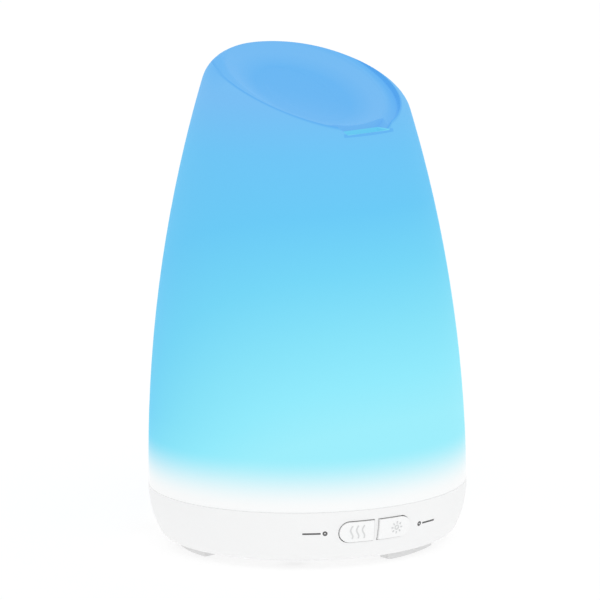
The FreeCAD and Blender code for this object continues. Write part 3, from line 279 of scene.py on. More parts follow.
def copies(name, places, part, item):
    """One piece made of copies of a scratch part at places, each with its turn in radians."""
    points = bpy.data.meshes.new(name + "_points")
    points.from_pydata([place for place, turn in places], [], [])
    turns = points.attributes.new("turn", "FLOAT_VECTOR", "POINT")
    for row, (place, turn) in zip(turns.data, places):
        row.vector = turn
    tree = bpy.data.node_groups.get(COPIES) or copies_tree()
    piece = grow(name, points, tree, {"Part": part, "Size": 1.0, "Finish": item}, item)
    bpy.data.objects.remove(part)
    return piece


def winding_tree():
    """Turns of wire round a ring core."""
    tree = new_tree("Winding", (("Ring radius", "NodeSocketFloat"), ("Turn radius", "NodeSocketFloat"),
                                ("Wire radius", "NodeSocketFloat"), ("Turns", "NodeSocketInt"),
                                ("Finish", "NodeSocketMaterial")))
    given = add(tree, "NodeGroupInput", out="all")
    ring = add(tree, "GeometryNodeCurvePrimitiveCircle", {"Resolution": 96, "Radius": given["Ring radius"]})
    points = add(tree, "GeometryNodeCurveToPoints", {"Curve": ring, "Count": given["Turns"]}, out="all")
    turn = add(tree, "GeometryNodeCurvePrimitiveCircle", {"Resolution": 20, "Radius": given["Turn radius"]})
    wire = add(tree, "GeometryNodeCurvePrimitiveCircle", {"Resolution": 6, "Radius": given["Wire radius"]})
    loop = add(tree, "GeometryNodeCurveToMesh", {"Curve": turn, "Profile Curve": wire})
    placed = add(tree, "GeometryNodeInstanceOnPoints", {"Points": points["Points"], "Instance": loop,
                                                        "Rotation": points["Rotation"]})
    real = add(tree, "GeometryNodeRealizeInstances", {"Geometry": placed})
    coated = add(tree, "GeometryNodeSetMaterial", {"Geometry": real, "Material": given["Finish"]})
    add(tree, "NodeGroupOutput", {"Geometry": coated})
    return tree


# ------------------------------------------------------------------ settings a user would change

def colour_property(name, code, text):
    return StringProperty(name=name, default=code, description=text + ", as an sRGB hex code")


def length_property(name, millimetres, text):
    return FloatProperty(name=name, default=millimetres * MM, unit="LENGTH", precision=5, description=text)


def angle_property(name, degrees, text):
    return FloatProperty(name=name, default=math.radians(degrees), subtype="ANGLE", description=text)


class GlowSettings(bpy.types.PropertyGroup):
    """The cover's light: its colours from the foot to the top, in the dish and in the mist slot."""

    foot: colour_property("Foot", "#fbfcfc", "Unlit white band by the seam")
    low: colour_property("Low", "#9eeffd", "Brightest cyan above the band")
    lower: colour_property("Lower", "#92ebfd", "Colour at the lower third")
    middle: colour_property("Middle", "#86e3fa", "Colour below mid height")
    waist: colour_property("Waist", "#75d7f8", "Colour above mid height")
    upper: colour_property("Upper", "#6bcbf7", "Colour at the upper third")
    neck: colour_property("Neck", "#6fc6f7", "Colour below the rim")
    shoulder: colour_property("Shoulder", "#79c0f6", "Colour of the rim")
    # Painted shade: the rim is painted deeper where it turns over.
    edge: colour_property("Edge", "#6ab8f5", "Deeper colour where the rim turns over")
    crease: colour_property("Crease", "#60b1f2", "Shaded line round the dish")
    ring: colour_property("Ring", "#6ab8f5", "Sunken ring inside that line")
    # Painted light: the halo is a band painted lighter inside the dish.
    halo: colour_property("Halo", "#78bef5", "Lighter band between the ring and the bowl")
    bowl: colour_property("Bowl", "#6ab8f4", "Floor of the dish")
    slot: colour_property("Slot", "#76d6f6", "Light inside the mist slot")
    slide: length_property("Slide", 23.0, "How far the colours slide down where the lamps are far away")
    # Painted light: the dish is painted lighter towards this azimuth.
    light_side: angle_property("Light side", -37.0, "Azimuth of the lighter side of the dish")
    hot_side: angle_property("Hot side", 7.3, "Azimuth of the brightest side, from -Y towards +X")
    band_low: length_property("Band low", 18.0, "Height where the white band ends its full strength")
    band_high: length_property("Band high", 32.6, "Height where the white band has faded out")
    dish_behind: length_property("Dish behind", -2.26, "Dish's middle along Y")
    dish_height: length_property("Dish height", 130.04, "Height of the dish's middle")
    dish_tilt: angle_property("Dish tilt", 22.6, "Slope of the ring in the dish")
    dish_length: length_property("Dish length", 29.84, "Half length of the dish")
    dish_width: length_property("Dish width", 24.24, "Half width of the dish")
    notch_floor: length_property("Notch floor", 118.38, "Height of the notch's floor")
    notch_half: length_property("Notch half", 9.5, "Half width of the notch's mouth")
    slot_inner: length_property("Slot inner", 24.2, "Inner wall of the mist slot from the axis")
    slot_outer: length_property("Slot outer", 29.7, "Outer wall of the mist slot from the axis")
    own_light: FloatProperty(name="Own light", default=0.53, min=0, max=1, subtype="FACTOR",
                             description="Share of the colour that the cover gives off itself")


class CaseSettings(bpy.types.PropertyGroup):
    """The white moulded base, its buttons and their marks."""

    shell: colour_property("Shell", "#f7f7f7", "Moulded base")
    # Painted shade: the underside plate and feet are coloured darker than the shell, for the shade under the base.
    plate: colour_property("Plate", "#e6e6e6", "Underside plate and feet")
    button: colour_property("Button", "#fafafa", "Button caps")
    # Painted shade: the raised marks are coloured a little darker than the caps.
    shaded_relief: colour_property("Relief", "#dddede", "Raised marks on the buttons")
    ink: colour_property("Ink", "#525252", "Printed lines beside the buttons")
    button_height: length_property("Button height", 11.1, "Height of the buttons' middle")
    light_azimuth: angle_property("Light button", -20.3, "Azimuth of the light button")
    mist_azimuth: angle_property("Mist button", -5.5, "Azimuth of the mist button")
    mark_stroke: length_property("Mark stroke", 0.42, "Stroke width of the raised marks")
    mark_proud: length_property("Mark proud", 0.08, "Raised marks above the button")
    line_width: length_property("Line width", 0.5, "Width of the printed lines")


class InsideSettings(bpy.types.PropertyGroup):
    """Small repeated parts inside the base."""

    turns: IntProperty(name="Turns", default=24, min=4, max=60, description="Turns of wire on the inductor")
    wire_radius: length_property("Wire radius", 0.36, "Radius of the inductor's wire")
    leg_count: IntProperty(name="Legs", default=6, min=2, max=12, description="Legs on each side of the chip")
    thread_pitch: length_property("Thread pitch", 0.8, "Pitch of the screws' thread")


class StageSettings(bpy.types.PropertyGroup):
    """Camera, floor and light."""

    azimuth: angle_property("Azimuth", -37.7, "Camera's azimuth, from -Y towards +X")
    distance: FloatProperty(name="Distance", default=1.4, unit="LENGTH", description="Camera's distance, level")
    height: FloatProperty(name="Height", default=0.32676, unit="LENGTH", description="Camera's height")
    aside: length_property("Aside", -1.28, "Camera's step to the right")
    pitch: angle_property("Pitch", 10.474, "Camera's look down")
    roll: angle_property("Roll", -0.95, "Camera's roll")
    lens: FloatProperty(name="Lens", default=305.85, min=10, max=500, description="Focal length in millimetres")
    sky: FloatProperty(name="Sky", default=0.86, min=0, max=5, description="Strength of the even studio light")
    floor_light: FloatProperty(name="Floor light", default=0.70, min=0, max=1, subtype="FACTOR",
                               description="Light that the floor gives off, as a lit table does")


# ------------------------------------------------------------------ stage

class HUMIDIFIER_OT_stage(bpy.types.Operator):
    """Lay the pale floor, light it evenly and set the camera"""

    bl_idname = "humidifier.stage"
    bl_label = "Stage"

    def execute(self, context):
        settings = context.scene.humidifier_stage
        self.set_light(context, settings)
        self.lay_floor(settings)
        self.set_camera(context, settings)
        return {"FINISHED"}

    def set_light(self, context, settings):
        world = bpy.data.worlds.new("Studio")
        world.use_nodes = True
        background = next(n for n in world.node_tree.nodes if n.type == "BACKGROUND")
        background.inputs["Color"].default_value = linear("#ffffff")
        background.inputs["Strength"].default_value = settings.sky
        context.scene.world = world
        context.scene.view_settings.view_transform = "Standard"
        # One broad soft box overhead, in front, and a weaker one from behind.
        for name, place, size, power in (("Key", around(1.2, -20, 1.5), 1.6, 4.0),
                                         ("Back", around(1.3, 150, 1.3), 1.4, 1.5)):
            lamp = bpy.data.lights.new(name, "AREA")
            lamp.size = size
            lamp.energy = power
            item = bpy.data.objects.new(name, lamp)
            item.location = place
            item.rotation_euler = (Vector((0, 0, 0.05)) - place).to_track_quat("-Z", "Y").to_euler()
            context.scene.collection.objects.link(item)

    def lay_floor(self, settings):
        """A lit table top of opal acrylic: its own light keeps the contact shadow faint."""
        item, tree, shader = material("Opal acrylic table", Roughness=0.9, Specular_IOR_Level=0.1)
        shader.inputs["Emission Strength"].default_value = settings.floor_light
        shade = add(tree, "ShaderNodeValToRGB", {"Fac": grains(tree, 400)},
                    stops=((0.3, "#989898"), (0.7, "#9b9b9b")))
        feed(tree, shader, Base_Color=shade)
        shader.inputs["Emission Color"].default_value = linear("#ffffff")
        shape = bmesh.new()
        bmesh.ops.create_grid(shape, x_segments=1, y_segments=1, size=6)
        from_bmesh("floor", shape, item)

    def set_camera(self, context, settings):
        data = bpy.data.cameras.new("Camera")
        data.lens = settings.lens
        data.sensor_width = 36
        camera = bpy.data.objects.new("Camera", data)
        place = Vector((settings.aside, -settings.distance, settings.height))
        look = Matrix.Rotation(math.pi / 2 - settings.pitch, 4, "X") @ Matrix.Rotation(settings.roll, 4, "Z")
        camera.matrix_world = Matrix.Rotation(settings.azimuth, 4, "Z") @ Matrix.Translation(place) @ look
        context.scene.collection.objects.link(camera)
        context.scene.camera = camera


# ------------------------------------------------------------------ cover

class HUMIDIFIER_OT_cover(bpy.types.Operator):
    """Give the frosted cover its glow"""

    bl_idname = "humidifier.cover"
    bl_label = "Frosted cover"

    def execute(self, context):
        dress(self.frosted_plastic(context.scene.humidifier_glow), "cover")
        return {"FINISHED"}

    def frosted_plastic(self, settings):
        """Polypropylene with a matt texture: light from inside spreads evenly and the gloss is faint."""
        # Painted light: the glow colours are painted into the base colour as well as given off as emission; half
        # of each colour is the light passing through, half is the studio light sent back.
        item, tree, shader = material("Frosted polypropylene, lit", Roughness=0.6, IOR=1.49,
                                      Specular_IOR_Level=0.04)
        colour = self.glow(tree, settings)
        body = add(tree, "ShaderNodeMix", {0: 1.0, 6: colour, 7: (0.47, 0.47, 0.47, 1.0)}, data_type="RGBA",
                   blend_type="MULTIPLY")
        # The mould's texture has grains of about half a millimetre.
        texture = add(tree, "ShaderNodeBump", {"Height": grains(tree, 0.5), "Distance": 0.02 * MM,
                                               "Strength": 0.5})
        feed(tree, shader, Base_Color=body, Emission_Color=colour, Normal=texture)
        shader.inputs["Emission Strength"].default_value = settings.own_light
        return item

    def glow(self, tree, settings):
        place = add(tree, "ShaderNodeSeparateXYZ", {"Vector": add(tree, "ShaderNodeTexCoord", out="Object")},
                    out="all")
        wall = self.wall_colour(tree, settings, place)
        top = self.dish_colour(tree, settings, wall)
        lit = self.slot_colour(tree, settings, place, top)
        band = add(tree, "ShaderNodeMapRange", {"Value": place["Z"], "From Min": settings.band_high,
                                                "From Max": settings.band_low}, interpolation_type="SMOOTHSTEP")
        return add(tree, "ShaderNodeMix", {0: band, 6: lit, 7: linear(settings.foot)}, data_type="RGBA")

    def wall_colour(self, tree, settings, place):
        """Painted glow: colours by height, sliding down on the side that is far from the lamps' hot spot."""
        hot = around(1, math.degrees(settings.hot_side), 0)
        across = add(tree, "ShaderNodeMath", {0: place["Y"], 1: hot.y}, operation="MULTIPLY")
        across = add(tree, "ShaderNodeMath", {0: place["X"], 1: hot.x, 2: across}, operation="MULTIPLY_ADD")
        away = add(tree, "ShaderNodeMath", {0: across, 1: -1 / COVER_RADIUS, 2: 1.0}, operation="MULTIPLY_ADD")
        steep = add(tree, "ShaderNodeMath", {0: away, 1: 1.5}, operation="POWER")
        # The slide fades out towards the top, where the light is even all round.
        fade = add(tree, "ShaderNodeMapRange", {"Value": place["Z"], "From Min": COVER_HIGH.z * 0.8,
                                                "From Max": COVER_HIGH.z * 0.28, "To Max": settings.slide})
        height = add(tree, "ShaderNodeMath", {0: steep, 1: fade, 2: place["Z"]}, operation="MULTIPLY_ADD")
        share = add(tree, "ShaderNodeMath", {0: height, 1: COVER_HIGH.z}, operation="DIVIDE")
        stops = ((0.29, settings.low), (0.38, settings.lower), (0.48, settings.middle), (0.60, settings.waist),
                 (0.71, settings.upper), (0.82, settings.neck), (0.92, settings.shoulder))
        return add(tree, "ShaderNodeValToRGB", {"Fac": share}, stops=stops)

    def dish_colour(self, tree, settings, wall):
        """Painted light and shade in the dish: the shaded crease, the ring, the lighter halo and the bowl."""
        local = add(tree, "ShaderNodeMapping",
                    {"Vector": add(tree, "ShaderNodeTexCoord", out="Object"),
                     "Location": (0, settings.dish_behind, settings.dish_height),
                     "Rotation": (settings.dish_tilt, 0, 0),
                     "Scale": (settings.dish_width, settings.dish_length, MM)}, vector_type="TEXTURE")
        axes = add(tree, "ShaderNodeSeparateXYZ", {"Vector": local}, out="all")
        flat = add(tree, "ShaderNodeCombineXYZ", {"X": axes["X"], "Y": axes["Y"]})
        reach = add(tree, "ShaderNodeVectorMath", {0: flat}, out="Value", operation="LENGTH")
        stops = ((0.0, settings.bowl), (0.52, settings.bowl), (0.74, settings.halo), (0.84, settings.halo),
                 (0.93, settings.ring), (0.975, settings.ring), (0.99, settings.crease))
        inside = add(tree, "ShaderNodeValToRGB", {"Fac": reach}, stops=stops)
        # Painted light: the side of the dish nearest the light button is painted lighter.
        toward = around(1, math.degrees(settings.light_side), 0)
        near_side = add(tree, "ShaderNodeMath", {0: axes["Y"], 1: toward.y}, operation="MULTIPLY")
        near_side = add(tree, "ShaderNodeMath", {0: axes["X"], 1: toward.x, 2: near_side},
                        operation="MULTIPLY_ADD")
        lighter = add(tree, "ShaderNodeMapRange", {"Value": near_side, "From Min": -0.1, "From Max": 0.75,
                                                   "To Max": 0.75}, interpolation_type="SMOOTHSTEP")
        inside = add(tree, "ShaderNodeMix", {0: lighter, 6: inside, 7: linear(settings.halo)}, data_type="RGBA")
        # Painted shade: the rim outside the crease is painted deeper where it turns over to the wall, except on
        # the low side, where a painted shaded line runs along the crease.
        near = add(tree, "ShaderNodeMapRange", {"Value": reach, "From Min": 1.004, "From Max": 1.03})
        low_side = add(tree, "ShaderNodeMapRange", {"Value": axes["Y"], "From Min": 0.55, "From Max": 0.1})
        rim = add(tree, "ShaderNodeMix", {0: low_side, 6: linear(settings.edge), 7: wall}, data_type="RGBA")
        line = add(tree, "ShaderNodeMix", {0: low_side, 6: rim, 7: linear(settings.crease)}, data_type="RGBA")
        outside = add(tree, "ShaderNodeMix", {0: near, 6: line, 7: rim}, data_type="RGBA")
        is_inside = add(tree, "ShaderNodeMath", {0: reach, 1: 0.998}, operation="LESS_THAN")
        top = add(tree, "ShaderNodeMix", {0: is_inside, 6: outside, 7: inside}, data_type="RGBA")
        # Only the skin within a few millimetres of the ring's level is the dish or the rim.
        level = add(tree, "ShaderNodeMapRange", {"Value": axes["Z"], "From Min": -7.0, "From Max": -4.5})
        outer_level = add(tree, "ShaderNodeMapRange", {"Value": axes["Z"], "From Min": -5.0, "From Max": 0.5},
                          interpolation_type="SMOOTHSTEP")
        share = add(tree, "ShaderNodeMix", {0: is_inside, 2: outer_level, 3: level})
        return add(tree, "ShaderNodeMix", {0: share, 6: wall, 7: top}, data_type="RGBA")

    def slot_colour(self, tree, settings, place, colour):
        """Bright walls inside the mist slot and a shaded lip on the notch's floor."""
        aside = add(tree, "ShaderNodeMath", {0: place["X"]}, operation="ABSOLUTE")
        out = add(tree, "ShaderNodeMath", {0: place["Y"], 1: -1.0}, operation="MULTIPLY")
        within = self.between(tree, out, settings.slot_inner, settings.slot_outer)
        below = self.between(tree, place["Z"], COVER_HIGH.z * 0.75, settings.notch_floor + 0.25 * MM)
        narrow = add(tree, "ShaderNodeMath", {0: aside, 1: settings.notch_half - 1.6 * MM}, operation="LESS_THAN")
        slot = add(tree, "ShaderNodeMath", {0: within, 1: below}, operation="MULTIPLY")
        slot = add(tree, "ShaderNodeMath", {0: slot, 1: narrow}, operation="MULTIPLY")
        lip_out = self.between(tree, out, settings.slot_outer - 0.2 * MM, COVER_RADIUS)
        lip_level = self.between(tree, place["Z"], settings.notch_floor - 0.5 * MM,
                                 settings.notch_floor + 0.4 * MM)
        wide = add(tree, "ShaderNodeMath", {0: aside, 1: settings.notch_half - 0.9 * MM}, operation="LESS_THAN")
        lip = add(tree, "ShaderNodeMath", {0: lip_out, 1: lip_level}, operation="MULTIPLY")
        lip = add(tree, "ShaderNodeMath", {0: lip, 1: wide}, operation="MULTIPLY")
        lip = add(tree, "ShaderNodeMath", {0: lip, 1: 0.7}, operation="MULTIPLY")
        shaded = add(tree, "ShaderNodeMix", {0: lip, 6: colour, 7: linear(settings.crease)}, data_type="RGBA")
        return add(tree, "ShaderNodeMix", {0: slot, 6: shaded, 7: linear(settings.slot)}, data_type="RGBA")

    def between(self, tree, value, low, high):
        """Marks the part of the cover where a measure lies between two limits."""
        middle = (low + high) / 2
        return add(tree, "ShaderNodeMath", {0: value, 1: middle, 2: (high - low) / 2}, operation="COMPARE")


# ------------------------------------------------------------------ base and buttons

def white_abs(name, code, roughness):
    """ABS moulded in a lightly spark-eroded tool: satin, with a grain that is only just seen."""
    return finish(name, (code,), roughness, 0.35, 0.008, 14, IOR=1.54, Specular_IOR_Level=0.3)


class HUMIDIFIER_OT_case(bpy.types.Operator):
    """Finish the base shell, the underside plate, the rubber pads and the power inlet"""

    bl_idname = "humidifier.case"
    bl_label = "Base"

    def execute(self, context):
        settings = context.scene.humidifier_case
        dress(white_abs("Satin white ABS", settings.shell, 0.38), "base_shell")
        # The plate's darker grey is painted shade under the base.
        dress(white_abs("Textured white ABS", settings.plate, 0.55), "bottom_cover")
        dress(self.rubber(), "foot_pads")
        dress(black_nylon(), "dc_jack")
        return {"FINISHED"}

    def rubber(self):
        """Thermoplastic rubber: dull, with the fine grain that stops it sliding."""
        return finish("Grey thermoplastic rubber", ("#dadada", "#e1e1e1"), 0.85, 0.4, 0.05, 3, IOR=1.52,
                      Specular_IOR_Level=0.25)


class HUMIDIFIER_OT_buttons(bpy.types.Operator):
    """Finish the button caps, raise their marks and print a plain line beside each"""

    bl_idname = "humidifier.buttons"
    bl_label = "Buttons"

    def execute(self, context):
        settings = context.scene.humidifier_case
        dress(white_abs("Polished white ABS", settings.button, 0.28), "light_button", "mist_button",
              "light_plunger", "mist_plunger")
        # Painted shade: the marks are given a darker grey than the caps.
        shaded_mark = white_abs("White ABS mark, painted shade", settings.shaded_relief, 0.45)
        self.mark("light_mark", "light_button", settings.light_azimuth, self.waves(), shaded_mark, settings)
        self.mark("mist_mark", "mist_button", settings.mist_azimuth, self.sun(), shaded_mark, settings)
        self.print_lines(settings)
        return {"FINISHED"}

    def waves(self):
        """Three upright wavy lines, as (across, up) points in millimetres."""
        tall, swing, spacing, steps = 3.7, 0.34, 1.7, 24
        paths = []
        for line in (-1, 0, 1):
            path = [(line * spacing + 0.1 + swing * math.sin(math.tau * (0.1 + i / steps)),
                     tall * (i / steps - 0.5)) for i in range(steps + 1)]
            paths.append(path)
        return paths

    def sun(self):
        """A small ring with eight rays round it."""
        ring, inner, outer, rays, steps, aside = 0.55, 1.15, 1.75, 8, 20, 0.5
        circle = [(aside + ring * math.cos(math.tau * i / steps), ring * math.sin(math.tau * i / steps))
                  for i in range(steps + 1)]
        paths = [circle]
        for ray in range(rays):
            turn = math.tau * ray / rays
            paths.append([(aside + reach * math.cos(turn), reach * math.sin(turn)) for reach in (inner, outer)])
        return paths

    def mark(self, name, button, azimuth, paths, item, settings):
        piece = self.strokes(name, NODES[button], math.degrees(azimuth), settings.button_height, paths,
                             settings.mark_stroke, settings.mark_proud, item)
        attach(piece, button)

    def print_lines(self, settings):
        """Ink film: a short line and a ring that point at each button."""
        ink = finish("Grey pad-printing ink", (settings.ink, "#666666"), 0.6, 0.3, 0.002, 2, IOR=1.5)
        for name, azimuth, height, toward in (("light_line", -35.5, 11.1, 1), ("mist_line", 9.8, 10.7, -1)):
            line = [((i * 0.25 - 3.4) * toward, 0) for i in range(21)]
            dot = [((2.8 + 0.45 * math.cos(math.tau * i / 16)) * toward, 0.45 * math.sin(math.tau * i / 16))
                   for i in range(17)]
            piece = self.strokes(name, NODES["base_shell"], azimuth, height * MM, [line, dot],
                                 settings.line_width, 0.02 * MM, ink)
            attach(piece, "base")

    def strokes(self, name, node, azimuth, height, paths, width, proud, item):
        """Closed low strips that follow paths laid on a node's outer surface."""
        mesh = node.data
        tree = BVHTree.FromPolygons([v.co for v in mesh.vertices], [list(p.vertices) for p in mesh.polygons])
        outward = around(1, azimuth, 0)
        right = Vector((-outward.y, outward.x, 0))
        shape = bmesh.new()

        def surface(across, up):
            start = outward * COVER_RADIUS * 1.5 + right * across + Vector((0, 0, height + up))
            place, normal = tree.ray_cast(start, -outward)[:2]
            if place is None:
                raise RuntimeError(f"{name} misses its surface")
            return place, normal

        for path in paths:
            points = [Vector((across * MM, up * MM)) for across, up in path]
            closed = (points[0] - points[-1]).length < 0.01 * MM
            if closed:
                points.pop()
            rows = []
            for i, point in enumerate(points):
                before = points[i - 1] if i or closed else point
                after = points[(i + 1) % len(points)] if i < len(points) - 1 or closed else point
                along = (after - before).normalized()
                side = Vector((-along.y, along.x)) * width / 2
                row = []
                for sign, lift in ((-1, -0.05 * MM), (-1, proud * 0.5), (-0.6, proud), (0.6, proud),
                                   (1, proud * 0.5), (1, -0.05 * MM)):
                    place, normal = surface(*(point + side * sign))
                    row.append(shape.verts.new(place + normal * lift))
                rows.append(row)
            pairs = list(zip(rows, rows[1:] + rows[:1])) if closed else list(zip(rows, rows[1:]))
            for first, second in pairs:
                for i in range(len(first)):
                    j = (i + 1) % len(first)
                    shape.faces.new((first[i], first[j], second[j], second[i]))
            if not closed:
                shape.faces.new(rows[0])
                shape.faces.new(rows[-1])
        return from_bmesh(name, shape, item)


# ------------------------------------------------------------------ tank and mist parts

def black_nylon():
    """Glass-filled nylon: near black, dull, with faint flow marks."""
    return finish("Black glass-filled nylon", ("#1b1b1d", "#242427"), 0.5, 0.5, 0.02, 4, IOR=1.53)


class HUMIDIFIER_OT_tank(bpy.types.Operator):
    """Finish the tank, inner lid, duct, seals and the mist disc"""

    bl_idname = "humidifier.tank"
    bl_label = "Tank and mist parts"

    def execute(self, context):
        dress(self.natural_pp(), "water_tank", "inner_lid", "air_duct")
        dress(self.silicone(), "tank_gasket", "piezo_seal")
        dress(self.disc_metal(), "piezo_disc")
        dress(stainless_steel(), "piezo_retainer", "water_level_pins")
        return {"FINISHED"}

    def natural_pp(self):
        """Unfilled polypropylene: milky, lets some light through and shines softly."""
        return finish("Natural polypropylene", ("#e6ebec", "#f0f4f4"), 0.32, 1.2, 0.03, 18, IOR=1.49,
                      Transmission_Weight=0.22)

    def silicone(self):
        """Moulded silicone rubber: pale, soft and dull."""
        return finish("Pale silicone rubber", ("#d5d8d8", "#dfe2e2"), 0.65, 0.8, 0.03, 5, IOR=1.41)

    def disc_metal(self):
        """Plated mist disc: a steel face round a small domed field of fine holes that looks darker."""
        item, tree, shader = material("Plated disc steel", Metallic=1.0, Roughness=0.25)
        place = add(tree, "ShaderNodeSeparateXYZ", {"Vector": add(tree, "ShaderNodeTexCoord", out="Object")},
                    out="all")
        flat = add(tree, "ShaderNodeCombineXYZ", {"X": place["X"], "Y": place["Y"]})
        reach = add(tree, "ShaderNodeVectorMath", {0: flat}, out="Value", operation="LENGTH")
        share = add(tree, "ShaderNodeMath", {0: reach, 1: 10 * MM}, operation="DIVIDE")
        colour = add(tree, "ShaderNodeValToRGB", {"Fac": share},
                     stops=((0.0, "#9c9a94"), (0.2, "#a3a19b"), (0.24, "#cfcdc6"), (0.8, "#d6d4cd"),
                            (0.84, "#c8b27e")))
        # Real holes are microns wide; they are drawn 0.3 mm apart so that they can be seen.
        holes = add(tree, "ShaderNodeTexVoronoi", {"Vector": flat, "Scale": 1 / (0.3 * MM)})
        pits = add(tree, "ShaderNodeBump", {"Height": holes, "Distance": 0.02 * MM, "Strength": 0.3})
        feed(tree, shader, Base_Color=colour, Normal=pits)
        return item


# ------------------------------------------------------------------ fan, boards and fasteners

def stainless_steel():
    """Rolled stainless sheet: bright, with fine drawn lines along X."""
    return finish("Rolled stainless steel", ("#b9babb", "#c9cacb"), 0.3, 0.25, 0.005, 3, (0.08, 1, 1),
                  Metallic=1.0)


class HUMIDIFIER_OT_fasteners(bpy.types.Operator):
    """Make the pan-head screws with cross recesses and threads"""

    bl_idname = "humidifier.fasteners"
    bl_label = "Screws"

    def execute(self, context):
        settings = context.scene.humidifier_inside
        item = self.zinc_plate()
        for node, shank, head_thick, head_up in SCREWS:
            boxes = solids_of(node)
            low, high = boxes[0]
            part = self.screw(node, (high.x - low.x) / 2, shank * MM, head_thick * MM, high.z - low.z,
                              settings.thread_pitch, item)
            places = [(Vector(((low.x + high.x) / 2, (low.y + high.y) / 2, high.z if head_up else low.z)),
                       (0 if head_up else math.pi, 0, math.radians(37 * index)))
                      for index, (low, high) in enumerate(boxes)]
            piece = copies(node + "_threaded", places, part, item)
            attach(piece, "base")
            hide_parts(node)
        return {"FINISHED"}

    def zinc_plate(self):
        """Zinc plate on steel: cool grey with a slight cloudy bloom."""
        return finish("Zinc-plated steel", ("#a9acb0", "#c2c5c9"), 0.34, 0.4, 0.004, 1.5, Metallic=1.0)

    def screw(self, name, head, shank, head_thick, length, pitch, item):
        """One screw with the top of its head at the origin, pointing down."""
        profile = [(0, 0), (head * 0.55, 0), (head * 0.82, -head_thick * 0.18), (head * 0.97, -head_thick * 0.5),
                   (head, -head_thick * 0.85), (head * 0.96, -head_thick), (shank, -head_thick)]
        turns = int((length - head_thick - 2 * pitch) / pitch)
        for turn in range(turns):
            top = -head_thick - pitch * (turn + 0.5)
            profile += [(shank * 0.82, top), (shank, top - pitch * 0.4), (shank * 0.82, top - pitch * 0.8)]
        profile += [(shank * 0.6, -length + pitch * 0.6), (0, -length)]
        blank = from_bmesh(name + "_blank", lathe(profile, 24), item)
        recess = bmesh.new()
        wide, reach, deep = head * 0.14, head * 0.6, head_thick * 0.55
        cuboid(recess, (-wide, -reach, -deep), (wide, reach, head_thick))
        cuboid(recess, (-reach, -wide, -deep), (reach, wide, head_thick))
        cutter = from_bmesh(name + "_recess", recess, item, smooth=False)
        cut = blank.modifiers.new("Recess", "BOOLEAN")
        cut.object = cutter
        cut.operation = "DIFFERENCE"
        cut.solver = "EXACT"
        cut.use_self = True
        part = new_object(name + "_part", plain_mesh(blank), item)
        bpy.data.objects.remove(cutter)
        return part


